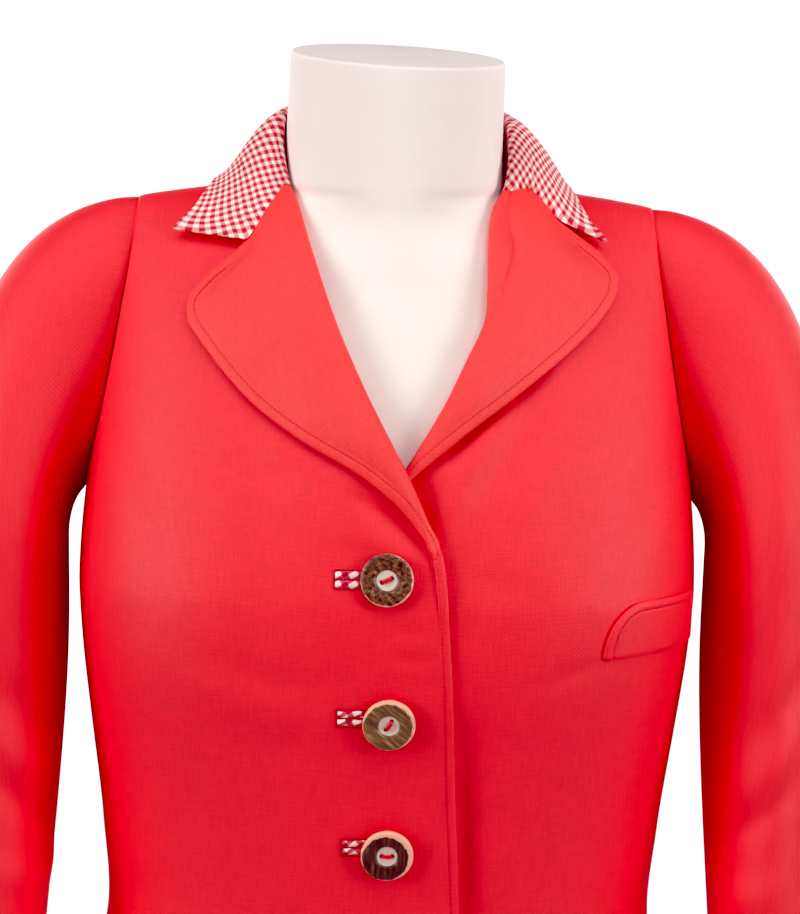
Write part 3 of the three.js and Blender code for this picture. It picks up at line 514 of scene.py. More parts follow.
class Nodes:
    """A new material with a principled surface, and the steps that several finishes share."""

    def __init__(self, name: str) -> None:
        """Makes the material under its name."""
        self.material = bpy.data.materials.new(name)
        self.material.use_nodes = True
        self.tree = self.material.node_tree
        self.surface = self.tree.nodes["Principled BSDF"]

    def add(self, kind: str, inputs: dict | None = None, **settings: Any) -> Any:
        """Adds one node, as add_node does."""
        return add_node(self.tree, kind, inputs, **settings)

    def ramp(self, factor: NodeSocket, stops: tuple) -> NodeSocket:
        """The colour at a factor between (position, sRGB hex colour) stops."""
        ramp = self.add("ValToRGB", {"Fac": factor})
        elements = ramp.color_ramp.elements
        while len(elements) < len(stops):
            elements.new(0.5)
        for element, (position, colour) in zip(elements, stops):
            element.position = position
            element.color = linear(colour)
        return ramp.outputs["Color"]

    def maths(self, operation: str, *values: Any) -> NodeSocket:
        """One step of arithmetic on numbers and output sockets."""
        return self.add("Math", dict(enumerate(values)), operation=operation).outputs[0]

    def blend(self, factor: NodeSocket, low: Any, high: Any) -> NodeSocket:
        """Mixes two colours, each a socket or an sRGB hex."""
        ends = [linear(colour) if isinstance(colour, str) else colour for colour in (low, high)]
        return self.add("Mix", {0: factor, 6: ends[0], 7: ends[1]}, data_type="RGBA").outputs[2]

    def coordinates(self) -> tuple[NodeSocket, NodeSocket, NodeSocket]:
        """The piece's flat map, whole and split into its two directions, in metres."""
        flat = self.add("UVMap", uv_map="cut").outputs["UV"]
        split = self.add("SeparateXYZ", {"Vector": flat})
        return flat, split.outputs["X"], split.outputs["Y"]

    def weave(self, across: NodeSocket, along: NodeSocket, spacing: float) -> NodeSocket:
        """Crossed sines from -1 to 1 that repeat at a spacing in metres."""
        waves = [
            self.maths("SINE", self.maths("MULTIPLY", way, 2 * math.pi / spacing))
            for way in (across, along)
        ]
        return self.maths("MULTIPLY", *waves)

    def streaks(self, flat: NodeSocket, size: tuple[float, float], detail: float) -> NodeSocket:
        """Noise whose blotches have a length and a width in metres."""
        scale = (1 / size[0], 1 / size[1], 1)
        placed = self.add("Mapping", {"Vector": flat, "Scale": scale}).outputs["Vector"]
        settings = {"Vector": placed, "Scale": 1.0, "Detail": detail, "Roughness": 0.6}
        return self.add("TexNoise", settings).outputs["Fac"]

    def noise(self, scale: float, detail: float = 2.0) -> NodeSocket:
        """Even noise through the piece, at a scale in turns to the metre."""
        place = self.add("TexCoord").outputs["Object"]
        settings = {"Vector": place, "Scale": scale, "Detail": detail}
        return self.add("TexNoise", settings).outputs["Fac"]

    def cover(self, colour: NodeSocket, **values: Any) -> None:
        """Sets the surface's colour, and its other inputs by name with _ for a space."""
        self.tree.links.new(colour, self.surface.inputs["Base Color"])
        for name, value in values.items():
            self.surface.inputs[name.replace("_", " ")].default_value = value

    def roughen(self, height: NodeSocket, strength: float, depth: float) -> None:
        """Gives the surface a fine relief of a depth in metres."""
        relief = {"Height": height, "Strength": strength, "Distance": depth}
        bump = self.add("Bump", relief).outputs["Normal"]
        self.tree.links.new(bump, self.surface.inputs["Normal"])


@dataclass(frozen=True)
class RedLinen:
    """Plain-weave linen, piece-dyed red: matt, with slubs in both directions of thread."""

    name: str = "red_linen"
    deep: str = "#e63a36"
    bright: str = "#fb403e"
    # the darker colour of the stitching's painted shade
    stitch_shade: str = "#b01420"
    # Real linen threads are about 0.6 mm apart; they are drawn a little coarser to show.
    thread: float = 0.00105
    slub_length: float = 0.014
    slub_width: float = 0.0008
    roughness: float = 0.6
    haze: float = 0.06  # short fibres that stand off the thread
    tone_shift: float = -0.8  # sets the middle of the noises' sum on the middle of the ramp

    def make(self) -> Material:
        """Builds the material: woven threads, slubs, and painted shade in the stitching's dimples."""
        nodes = Nodes(self.name)
        flat, across, along = nodes.coordinates()
        woven = nodes.weave(across, along, 2 * self.thread)
        size = (self.slub_length, self.slub_width)
        level_slubs, upright_slubs = (nodes.streaks(flat, way, 2.0) for way in (size, size[::-1]))
        slubs = nodes.maths("ADD", level_slubs, upright_slubs)
        blotches = nodes.streaks(flat, (0.03, 0.03), 3.0)
        tone = nodes.maths("MULTIPLY_ADD", woven, 0.1, self.tone_shift)
        tone = nodes.maths("MULTIPLY_ADD", slubs, 1.15, tone)
        tone = nodes.maths("MULTIPLY_ADD", blotches, 0.3, tone)
        colour = nodes.ramp(tone, ((0.15, self.deep), (0.85, self.bright)))
        # Painted shade: along the stitching's dimple the colour darkens, for the shade that falls in it
        # as well as its needle holes.
        stitched = nodes.add("Attribute", attribute_name="stitched").outputs["Fac"]
        shade = nodes.blend(nodes.maths("MULTIPLY", stitched, 0.9), colour, self.stitch_shade)
        nodes.cover(shade, Roughness=self.roughness, Specular_IOR_Level=0.62,
                    Sheen_Weight=self.haze, Sheen_Roughness=0.5, Sheen_Tint=linear("#ffd0cc"))
        relief = nodes.maths("MULTIPLY_ADD", woven, 0.35, slubs)
        nodes.roughen(relief, 0.35, 0.00035)
        return nodes.material


@dataclass(frozen=True)
class Gingham:
    """Yarn-dyed cotton gingham: red and white threads, pink where they cross."""

    name: str = "gingham"
    repeat: float = 0.0042
    white: str = "#f9e6dd"
    pink: str = "#ec9a97"
    red: str = "#c63a42"
    soft: float = 0.1  # of a stripe's half width, at each of its sides
    dyed: float = 0.5  # of every repeat
    thread: float = 0.0008

    def stripe(self, nodes: Nodes, along: Any) -> Any:
        """1 on a dyed thread and 0 on a white one."""
        fold = nodes.maths("PINGPONG", along, self.repeat / 2)
        turn, soft = self.repeat / 2 * (1 - self.dyed), self.soft * 2
        ends = {"Value": fold, "From Min": turn * (1 - soft), "From Max": turn * (1 + soft)}
        return nodes.add("MapRange", ends, interpolation_type="SMOOTHSTEP").outputs["Result"]

    def make(self) -> Material:
        """Builds the material: two sets of stripes crossed, with a thread's unevenness."""
        nodes = Nodes(self.name)
        flat, across, along = nodes.coordinates()
        both = nodes.maths("ADD", self.stripe(nodes, across), self.stripe(nodes, along))
        uneven = nodes.streaks(flat, (0.0012, 0.0007), 2.0)
        wander = nodes.maths("MULTIPLY_ADD", uneven, 0.16, -0.08)
        half = nodes.maths("MULTIPLY_ADD", both, 0.5, wander)
        colour = nodes.ramp(half, ((0.03, self.white), (0.5, self.pink), (0.95, self.red)))
        nodes.cover(colour, Roughness=0.85, Specular_IOR_Level=0.3)
        nodes.roughen(nodes.weave(across, along, self.thread), 0.25, 0.0002)
        return nodes.material


class HornPattern(Enum):
    """How the bark of a slice of antler is marked: blotches, or streaks at an angle."""

    BLOTCHED = 0.0
    SLANTED = 38.0
    UPRIGHT = 90.0


@dataclass(frozen=True)
class AntlerHorn:
    """A polished slice of antler: dark bark, a pale rim and a pale dished middle."""

    name: str = "antler_horn"
    pattern: HornPattern = HornPattern.BLOTCHED
    bark: tuple = ((0.36, "#3a2b1c"), (0.49, "#5f4a30"), (0.6, "#846a45"), (0.72, "#c9a273"))
    bark_reach: float = 0.0147
    bark_offset: tuple = (-0.0003, 0.0003)  # of the bark's middle from the slice's
    rim: str = "#efb599"
    middle: str = "#ddccb9"
    dish: float = 0.0066
    wobble: float = 0.0022

    def _mask(self, nodes: Nodes, place: Any, wobble: Any, edge: float) -> Any:
        """1 beyond an uneven circle, 0 within it."""
        radius = nodes.add("VectorMath", {0: place}, operation="LENGTH").outputs["Value"]
        uneven = nodes.maths("MULTIPLY_ADD", wobble, self.wobble, radius)
        ends = {"Value": uneven, "From Min": edge - 0.0003, "From Max": edge + 0.0002}
        return nodes.add("MapRange", ends).outputs["Result"]

    def make(self) -> Material:
        """Builds the material from the slice's middle outwards."""
        nodes = Nodes(self.name)
        flat, _, _ = nodes.coordinates()
        turn = (0, 0, math.radians(self.pattern.value))
        turned = nodes.add("Mapping", {"Vector": flat, "Rotation": turn}).outputs["Vector"]
        blotched = self.pattern is HornPattern.BLOTCHED
        size = (0.0028, 0.0024) if blotched else (0.014, 0.0019)
        marks = nodes.streaks(turned, size, 4.0)
        bark = nodes.ramp(marks, self.bark)
        wobble = nodes.streaks(flat, (0.004, 0.004), 2.0)
        shift = (*self.bark_offset, 0)
        moved = nodes.add("VectorMath", {0: flat, 1: shift}, operation="SUBTRACT").outputs[0]
        outer = self._mask(nodes, moved, wobble, self.bark_reach)
        inner = self._mask(nodes, flat, 0.5, self.dish)
        with_rim = nodes.blend(outer, bark, self.rim)
        colour = nodes.blend(inner, self.middle, with_rim)
        nodes.cover(colour, Roughness=0.42, IOR=1.54, Coat_Weight=0.1, Coat_Roughness=0.25)
        nodes.roughen(nodes.maths("MULTIPLY", marks, inner), 0.5, 0.0006)
        return nodes.material


@dataclass(frozen=True)
class CottonThread:
    """Mercerised sewing cotton, two plies twisted: a little brighter than the cloth."""

    name: str = "sewing_thread"
    colour: str = "#ee3c34"
    shade: str = "#c42a28"
    ply: float = 0.0009

    def make(self) -> Material:
        """Builds the material: twisted plies in two close shades."""
        nodes = Nodes(self.name)
        plies = nodes.noise(1 / self.ply, 1.0)
        colour = nodes.ramp(plies, ((0.35, self.shade), (0.65, self.colour)))
        nodes.cover(colour, Roughness=0.6)
        return nodes.material


@dataclass(frozen=True)
class FormCover:
    """A dress form's matt, warm white jersey drawn tight over its hard shell."""

    name: str = "form_cover"
    light: str = "#f7eee9"
    shade: str = "#f1e5df"
    knit: float = 0.0011

    def make(self) -> Material:
        """Builds the material: fine knit and slow changes of tone."""
        nodes = Nodes(self.name)
        tone = nodes.noise(14.0, 3.0)
        colour = nodes.ramp(tone, ((0.35, self.shade), (0.65, self.light)))
        nodes.cover(colour, Roughness=0.7, Specular_IOR_Level=0.3)
        nodes.roughen(nodes.noise(1 / self.knit), 0.12, 0.0003)
        return nodes.material


@dataclass(frozen=True)
class PalePaint:
    """Matt studio paint, for the floor under the form."""

    name: str = "pale_paint"
    colour: str = "#f4f2f1"
    shade: str = "#efedec"

    def make(self) -> Material:
        """Builds the material: faintly mottled paint."""
        nodes = Nodes(self.name)
        colour = nodes.ramp(nodes.noise(6.0), ((0.3, self.shade), (0.7, self.colour)))
        nodes.cover(colour, Roughness=0.9)
        return nodes.material


class Finishes:
    """Every material of the jacket and its form, made once."""

    def __init__(self) -> None:
        """Makes the materials."""
        self.linen = RedLinen().make()
        # Painted light: the lapels' copy of the linen is a little lighter, for the light the lapels
        # catch as they lie tilted up.
        self.lit_facing = RedLinen("red_linen_lit_facing", "#e84538", "#fc4c40", "#c2201e").make()
        self.gingham = Gingham().make()
        self.binding = Gingham(
            "gingham_binding", 0.0062, "#fcece0", "#d65a68", "#b81a36", 0.08, 0.4
        ).make()
        self.thread = CottonThread().make()
        self.stitching = CottonThread("tone_thread", "#d83430", "#c42624").make()
        # Painted shade: a darker thread in the seam and the slit of each buttonhole, where shade falls.
        self.shaded_ditch = CottonThread("shaded_ditch_thread", "#b8242e", "#981824").make()
        self.form = FormCover().make()
        self.floor = PalePaint().make()
        golden = ((0.34, "#474b33"), (0.45, "#64593a"), (0.56, "#8b7044"), (0.7, "#c9a06a"))
        dark = ((0.35, "#2f3422"), (0.53, "#4a4129"), (0.66, "#76603c"), (0.78, "#c09f6c"))
        slices = {
            HornPattern.BLOTCHED: (),
            HornPattern.SLANTED: (golden, 0.0141, (-0.0006, -0.0006)),
            HornPattern.UPRIGHT: (dark, 0.0135, (-0.0009, -0.001)),
        }
        self.horn = {
            pattern: AntlerHorn(f"antler_{pattern.name.lower()}", pattern, *cut).make()
            for pattern, cut in slices.items()
        }


# ---- Making pieces -------------------------------------------------------------------


def mesh_object(name: str, bm: BMesh, material: Material) -> Object:
    """Puts a finished bmesh into the scene as a smooth-shaded piece.

    Args:
        name: the piece's name.
        bm: its mesh, which is freed.
        material: its finish.

    Returns:
        The new object.
    """
    mesh = bpy.data.meshes.new(name)
    bm.to_mesh(mesh)
    bm.free()
    mesh.materials.append(material)
    mesh.shade_smooth()
    made = bpy.data.objects.new(name, mesh)
    bpy.context.scene.collection.objects.link(made)
    return made


def grid_mesh(grid: Array) -> tuple[BMesh, list]:
    """Turns a grid of points into a mesh.

    Args:
        grid: the points in millimetres, by row and column.

    Returns:
        The mesh, and the row and column of each of its vertices in their own order.
    """
    rows, columns = grid.shape[0] - 1, grid.shape[1] - 1
    bm = bmesh.new()
    bmesh.ops.create_grid(bm, x_segments=columns, y_segments=rows, size=0.5)
    places = [(round((v.co.y + 0.5) * rows), round((v.co.x + 0.5) * columns)) for v in bm.verts]
    for vertex, place in zip(bm.verts, places):
        vertex.co = (grid[place] + SHIFT) * MM
    bm.verts.index_update()
    return bm, places


@dataclass
class ClothPiece:
    """One sewn piece: a grid of points turned into a thin, finished shell of cloth.

    The grid is the cloth's underside, and the wall stands out from it.
    """

    name: str
    material: Material
    inside: tuple  # a point on the underside's side of the piece
    wall: float = CLOTH
    closed: bool = False  # the grid's first and last columns are one

    def build(self, grid: Array, cut: Array, stitched: Array | None = None) -> Object:
        """Builds the piece.

        Args:
            grid: underside points in millimetres, by row and column.
            cut: flat-map place of each grid point, in millimetres.
            stitched: how much of the stitching's dimple each point has; the linen darkens by it as
                painted shade.

        Returns:
            The finished object.
        """
        bm, places = grid_mesh(grid)
        flat_layer = bm.loops.layers.uv.new("cut")
        mark_layer = bm.verts.layers.float.new("stitched")
        if stitched is not None:
            for vertex, place in zip(bm.verts, places):
                vertex[mark_layer] = float(stitched[place])
        for face in bm.faces:
            for loop in face.loops:
                loop[flat_layer].uv = cut[places[loop.vert.index]] * MM
        if self.closed:
            bmesh.ops.remove_doubles(bm, verts=bm.verts, dist=1e-6)
        self._face_out(bm)
        made = mesh_object(self.name, bm, self.material)
        self._thicken(made)
        return made

    def _face_out(self, bm: BMesh) -> None:
        """Turns the faces so that they look away from the piece's inside point."""
        bm.normal_update()
        core = Vector((np.array(self.inside) + SHIFT) * MM)
        away = sum(f.normal.dot(f.calc_center_median() - core) * f.calc_area() for f in bm.faces)
        if away < 0:
            bmesh.ops.reverse_faces(bm, faces=bm.faces)

    def _thicken(self, made: Object) -> None:
        """Gives the sheet its wall and a rounded rim."""
        wall = made.modifiers.new("wall", "SOLIDIFY")
        wall.thickness = self.wall * MM
        wall.offset = 1.0
        rim = made.modifiers.new("rim", "BEVEL")
        rim.width = 0.35 * self.wall * MM
        rim.segments = 2
        rim.limit_method = "ANGLE"
        rim.angle_limit = math.radians(55)


def dress(piece: Object, slot: str, *nodes: str) -> Object:
    """Says what a finished piece rides on and stands for."""
    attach(piece, "root")
    if nodes:
        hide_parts(*nodes)
    LOG.info("%s: %d faces", piece.name, len(piece.data.polygons))
    return piece


def spread(bands: tuple) -> Array:
    """Column places from bands of even steps.

    Args:
        bands: (start, end, steps) of each band, in order.

    Returns:
        The places, each once.
    """
    ends = [np.linspace(start, end, steps, endpoint=False) for start, end, steps in bands]
    return np.concatenate([*ends, [bands[-1][1]]])


# ---- Fronts --------------------------------------------------------------------------


@dataclass(frozen=True)
class FrontCut:
    """The cut of one front, its lapel and its collar end, in the front view."""

    side: Side
    edge: tuple
    roll_foot: float
    roll_top: float
    lapel_edge: tuple
    gorge: tuple
    collar_tip: tuple
    roll_radius: float = 2.2
    foot_radius: float = 0.8
    slant: float = 1.08  # length along X of a unit square to the roll

    def radius(self, z: Any) -> Array:
        """Radius of the lapel's roll at a height."""
        return mix(self.foot_radius, self.roll_radius, ease(self.roll_foot, self.roll_foot + 60, z))

    def inset(self, z: Any) -> Array:
        """How far along X the roll's seam lies inside of its outermost fold."""
        return self.side.value * (self.radius(z) + CLOTH) * self.slant

    def seam_x(self, z: Any) -> Array:
        """X of the seam at the lapel's roll."""
        return read_table(self.edge, "z", "x", z) + self.inset(z)

    def front_x(self, z: Any) -> Array:
        """X of the front's own edge: it draws back under the roll above the break."""
        turned = ease(self.roll_foot - 1, self.roll_foot + 6, z)
        return read_table(self.edge, "z", "x", z) + self.inset(z) * turned

    def start_angle(self, level: Array) -> Array:
        """Angle at which the front begins at each level."""
        share = np.clip((level - BUST) / (NECK_POINT - BUST), 0, 1)
        z = np.minimum(level, BUST)
        for _ in range(12):
            raised = BUST + (SHELL.ridge(self.front_x(z)) - BUST) * share
            z = np.where(level > BUST, raised, z)
        angle, _ = SHELL.front_place(self.front_x(np.minimum(z, NECK_POINT)), z)
        return angle


RIGHT_CUT = FrontCut(
    side=Side.RIGHT,
    edge=table_of(
        EdgePoint,
        (110, 12), (114, 28), (126, 39), (150, 45), (210, 45.2), (280, 42.7), (330, 40.1),
        (378, 36.9), (434, 34.1), (477, 30.7), (496, 28.9), (508, 26.9), (515, 25.2), (523, 20.6),
        (533, 15.6), (553, 5.6), (588, -13.2), (623, -29.8), (663, -44.8), (682, -51.2), (688, -54),
        (693, -57), (700, -62),
    ),
    roll_foot=509,
    roll_top=691,
    lapel_edge=(
        (22.6, 507.5), (17.8, 517.3), (5.5, 532), (-14, 547.5), (-49, 567), (-76, 586), (-100, 612),
        (-108.5, 624), (-109, 634), (-101, 645), (-79, 663.4),
    ),
    gorge=((-60, 691), (-79, 663.4)),
    collar_tip=(-118, 666.5),
)

LEFT_CUT = FrontCut(
    side=Side.LEFT,
    edge=table_of(
        EdgePoint,
        (110, 8), (114, -8), (126, -19), (150, -25), (210, -26), (433, -26), (500, -24), (530, -9),
        (553, 7.5), (584, 26.2), (605, 36.5), (627, 46.6), (642, 48), (670, 48.4), (684, 50.8),
        (691, 55.5), (700, 62),
    ),
    roll_foot=540,
    roll_top=691,
    lapel_edge=(
        (1.6, 539), (7, 545.6), (13.5, 551.8), (21, 558), (30, 565.2), (41, 574), (67, 593),
        (93, 614), (109, 630), (116.5, 642), (117, 652), (109, 661), (88.3, 676.2),
    ),
    gorge=((59.6, 691), (72.5, 691.4), (80, 684.2), (88.3, 676.2)),
    collar_tip=(111.5, 665.6),
)

RIGHT_CREASES = table_of(
    Crease,
    (((-22, 541), (-2, 529), (12, 519), (19, 510)), -3.0, 5.5),
    (((-30, 522), (0, 512), (14, 506)), 1.0, 5.0),
    (((-100, 454), (-62, 441), (-32, 440), (-12, 462)), -1.1, 9.0),
    (((-108, 440), (-66, 424), (-30, 424)), 0.8, 9.0),
    (((-74, 570), (-62, 562), (-52, 552)), 1.0, 6.0),
    (((-88, 556), (-66, 548), (-48, 538)), -0.8, 6.0),
    (((4, 470), (14, 468), (25, 470)), -0.7, 3.2), (((-2, 456), (12, 454), (26, 456)), -0.8, 3.6),
    (((6, 443), (16, 441), (28, 442)), -0.6, 3.0), (((8, 393), (18, 391), (31, 393)), -0.6, 3.2),
    (((4, 380), (18, 378), (32, 381)), -0.7, 3.6),
    (((-150, 560), (-128, 520), (-120, 470)), -1.2, 10.0),
    (((-60, 300), (-95, 288), (-135, 292)), -1.8, 9.0),
    (((-40, 275), (-90, 268), (-130, 276)), 1.4, 9.0),
    (((-100, 250), (-112, 200), (-120, 140)), 2.0, 18.0),
    (((-50, 230), (-60, 180), (-62, 125)), -1.4, 15.0),
)

LEFT_CREASES = table_of(
    Crease,
    (((64, 592), (45, 560), (30, 530), (24, 505)), 2.6, 8.0),
    (((8, 560), (12, 542), (16, 524), (20, 508)), -3.2, 8.0),
    (((82, 607), (54, 584), (35, 568), (15, 553)), -3.4, 7.0),
    (((80, 592), (70, 575), (55, 551), (46, 534)), -1.4, 7.5),
    (((98, 566), (80, 546), (62, 524)), 1.3, 8.0), (((112, 452), (96, 446), (76, 436)), -1.0, 4.5),
    (((42, 500), (60, 492), (84, 494)), -0.7, 8.0), (((40, 447), (48, 424), (47, 396)), -0.9, 7.0),
    (((41, 430), (42, 380), (43, 330), (45, 270)), -4.0, 9.5),
    (((150, 560), (130, 522), (118, 480)), -1.2, 10.0),
    (((64, 304), (98, 290), (134, 294)), -1.7, 9.0), (((52, 280), (92, 266), (128, 272)), 1.3, 9.0),
    (((98, 246), (110, 196), (121, 140)), 2.0, 18.0),
    (((62, 226), (70, 176), (68, 125)), -1.3, 15.0),
)


@dataclass
class FrontPanel:
    """One front of the jacket, from its stitched edge round to the side and shoulder."""

    cut: FrontCut
    creases: tuple
    finishes: Finishes
    edge_roll: RolledEdge = RolledEdge(4.0, 0.35, 0.5, 0.42)
    break_rise: float = 2.5  # the stitched band climbs to meet the lapel
    band: float = 7.5  # width of the fine columns along the edge
    band_steps: int = 15
    climb: float = 46.0  # length of the edge over which the band climbs
    steps: int = 74
    per_side_degree: float = 2.6  # millimetres of cloth to a degree at the side
    per_level: float = 1.3  # and to a millimetre of level at the shoulder

    def levels(self) -> Array:
        """Levels of the rows, closer at the hem, the roll and the shoulder."""
        low = ((HEM, HEM + 10, 14), (HEM + 10, 490, 132))
        return spread((*low, (490, 570, 50), (570, 690, 48), (690, NECK_POINT - 0.05, 8)))

    def grid(self) -> tuple[Array, Array]:
        """Angles and levels of the panel's grid."""
        side = self.cut.side
        levels = self.levels()
        start = self.cut.start_angle(levels)
        end = side.value * armhole_angle("front", levels)
        ahead = SHELL.point(start + side.value, levels) - SHELL.point(start, levels)
        per_degree = np.maximum(np.linalg.norm(ahead, axis=-1), 0.4)
        band = np.minimum(self.band / per_degree, 0.4 * np.abs(end - start)) * side.value
        inset = 0.5 * SEAM / per_degree * side.value
        fine = spread(((0.0, 1.0, self.band_steps),))
        coarse = np.linspace(0, 1, self.steps + 1)[1:]
        first = start[:, None] + inset[:, None] + (band - inset)[:, None] * fine
        inner = (start + band)[:, None]
        rest = inner + (end[:, None] - inset[:, None] - inner) * coarse
        return np.hstack([first, rest]), np.repeat(levels[:, None], len(fine) + len(coarse), 1)

    def edge_line(self) -> Outline:
        """The stitched edge in the front view, from the roll's foot round to the side hem."""
        edge = [(row.x, row.z) for row in self.cut.edge if row.z <= self.cut.roll_foot + 15]
        hem = [(self.cut.side.value * x, HEM) for x in (190.0, 120.0, 60.0)]
        if self.cut.side is Side.RIGHT:
            hem += [(0.0, HEM)]
        return Outline(tuple(hem + edge))

    def build(self) -> Object:
        side = self.cut.side
        angle, level = self.grid()
        point = SHELL.point(angle, level)
        x, z = point[..., 0], point[..., 2]
        away, _ = self.edge_line().distance(x, z)
        fold = 1 - ease(self.cut.roll_foot + 1.5, self.cut.roll_foot + 8, z)
        rolled = self.edge_roll.height(away) * fold
        mark = self.edge_roll.mark(away) * fold
        if side is Side.RIGHT:
            climb = ease(self.cut.roll_foot - self.climb, self.cut.roll_foot - 3, z)
            rolled = rolled + self.break_rise * climb * fold * (1 - ease(3.4, 5.4, away))
        lift = SHELL.lap(side, x, z) - CLOTH + rolled + creased(self.creases, x, z)
        lift = lift + self.seams(angle, level)
        grid = SHELL.lifted(angle, level, lift)
        run = run_lengths(grid, 1) * side.value + x[:, :1]
        cut = np.stack([run, run_lengths(grid)], axis=-1)
        name = f"front_{side.label}"
        piece = ClothPiece(f"linen_{name}", self.finishes.linen, (0, 0, 400))
        made = piece.build(grid, cut, mark)
        return dress(made, "red_linen", name)

    def seams(self, angle: Array, level: Array) -> Array:
        """The small dip where the panel is sewn in at the side, armhole and shoulder."""
        side_gap = (armhole_angle("front", level) - np.abs(angle)) * self.per_side_degree
        top_gap = (NECK_POINT - level) * self.per_level
        return sewn_dip(np.minimum(side_gap, top_gap))


# ---- Back ----------------------------------------------------------------------------

BACK_CREASES = table_of(
    Crease,
    (((-112, 330), (-60, 305), (0, 300), (58, 306), (110, 332)), -2.6, 10.0),
    (((-100, 352), (-40, 330), (36, 331), (92, 350)), 2.0, 10.0),
    (((-84, 282), (-20, 270), (50, 276)), 1.8, 9.0),
    (((-120, 560), (-96, 520), (-88, 470)), -1.8, 12.0),
    (((124, 556), (100, 516), (90, 462)), -1.6, 12.0),
    (((-60, 240), (-66, 180), (-70, 122)), -2.0, 17.0),
    (((20, 236), (16, 170), (22, 120)), 1.8, 18.0), (((84, 240), (92, 180), (90, 122)), -1.7, 16.0),
    (((-40, 640), (0, 632), (44, 642)), -1.0, 12.0),
)


@dataclass
class BackPanel:
    """The back in one piece, from side to side and up to the collar seam."""

    finishes: Finishes
    neck_share: float = 0.393  # of the top row's half that lies under the collar
    neck_level: float = 672.5
    half_width: float = 150.0  # roughly, of cloth
    per_level: float = 1.1  # millimetres of cloth to a millimetre of level at the shoulder
    rows: int = 190
    columns: int = 144
    hem_roll: RolledEdge = RolledEdge(stitch=9.0, swell=0.3)

    def build(self) -> Object:
        margin = 0.0016  # half a seam, as a share of the half's width
        share = np.linspace(1 - margin, -1 + margin, self.columns + 1)[None, :]
        top_levels = spread(((HEM, HEM + 14, 16), (HEM + 14, NECK_POINT - 0.05, self.rows)))[:, None]
        dip = np.minimum(np.abs(share) / self.neck_share, 1)
        top = mix(self.neck_level, NECK_POINT, dip**2.2)
        level = mix(HEM, top, (top_levels - HEM) / (NECK_POINT - HEM))
        from_back = share * armhole_angle("back", level)
        angle = np.where(from_back >= 0, 180 - from_back, -180 - from_back)
        point = SHELL.point(angle, level)
        x, z = point[..., 0], point[..., 2]
        away = z - HEM
        gap = np.minimum((1 - np.abs(share)) * self.half_width, (NECK_POINT - level) * self.per_level)
        lift = self.hem_roll.height(away) + creased(BACK_CREASES, x, z) + sewn_dip(gap) - CLOTH
        grid = SHELL.lifted(angle, level, lift)
        run = run_lengths(grid, 1)
        from_middle = run - run[:, self.columns // 2, None]
        cut = np.stack([from_middle, run_lengths(grid)], axis=-1)
        piece = ClothPiece("linen_back", self.finishes.linen, (0, 0, 400))
        made = piece.build(grid, cut, self.hem_roll.mark(away))
        return dress(made, "red_linen", "back")


# ---- Lapels --------------------------------------------------------------------------


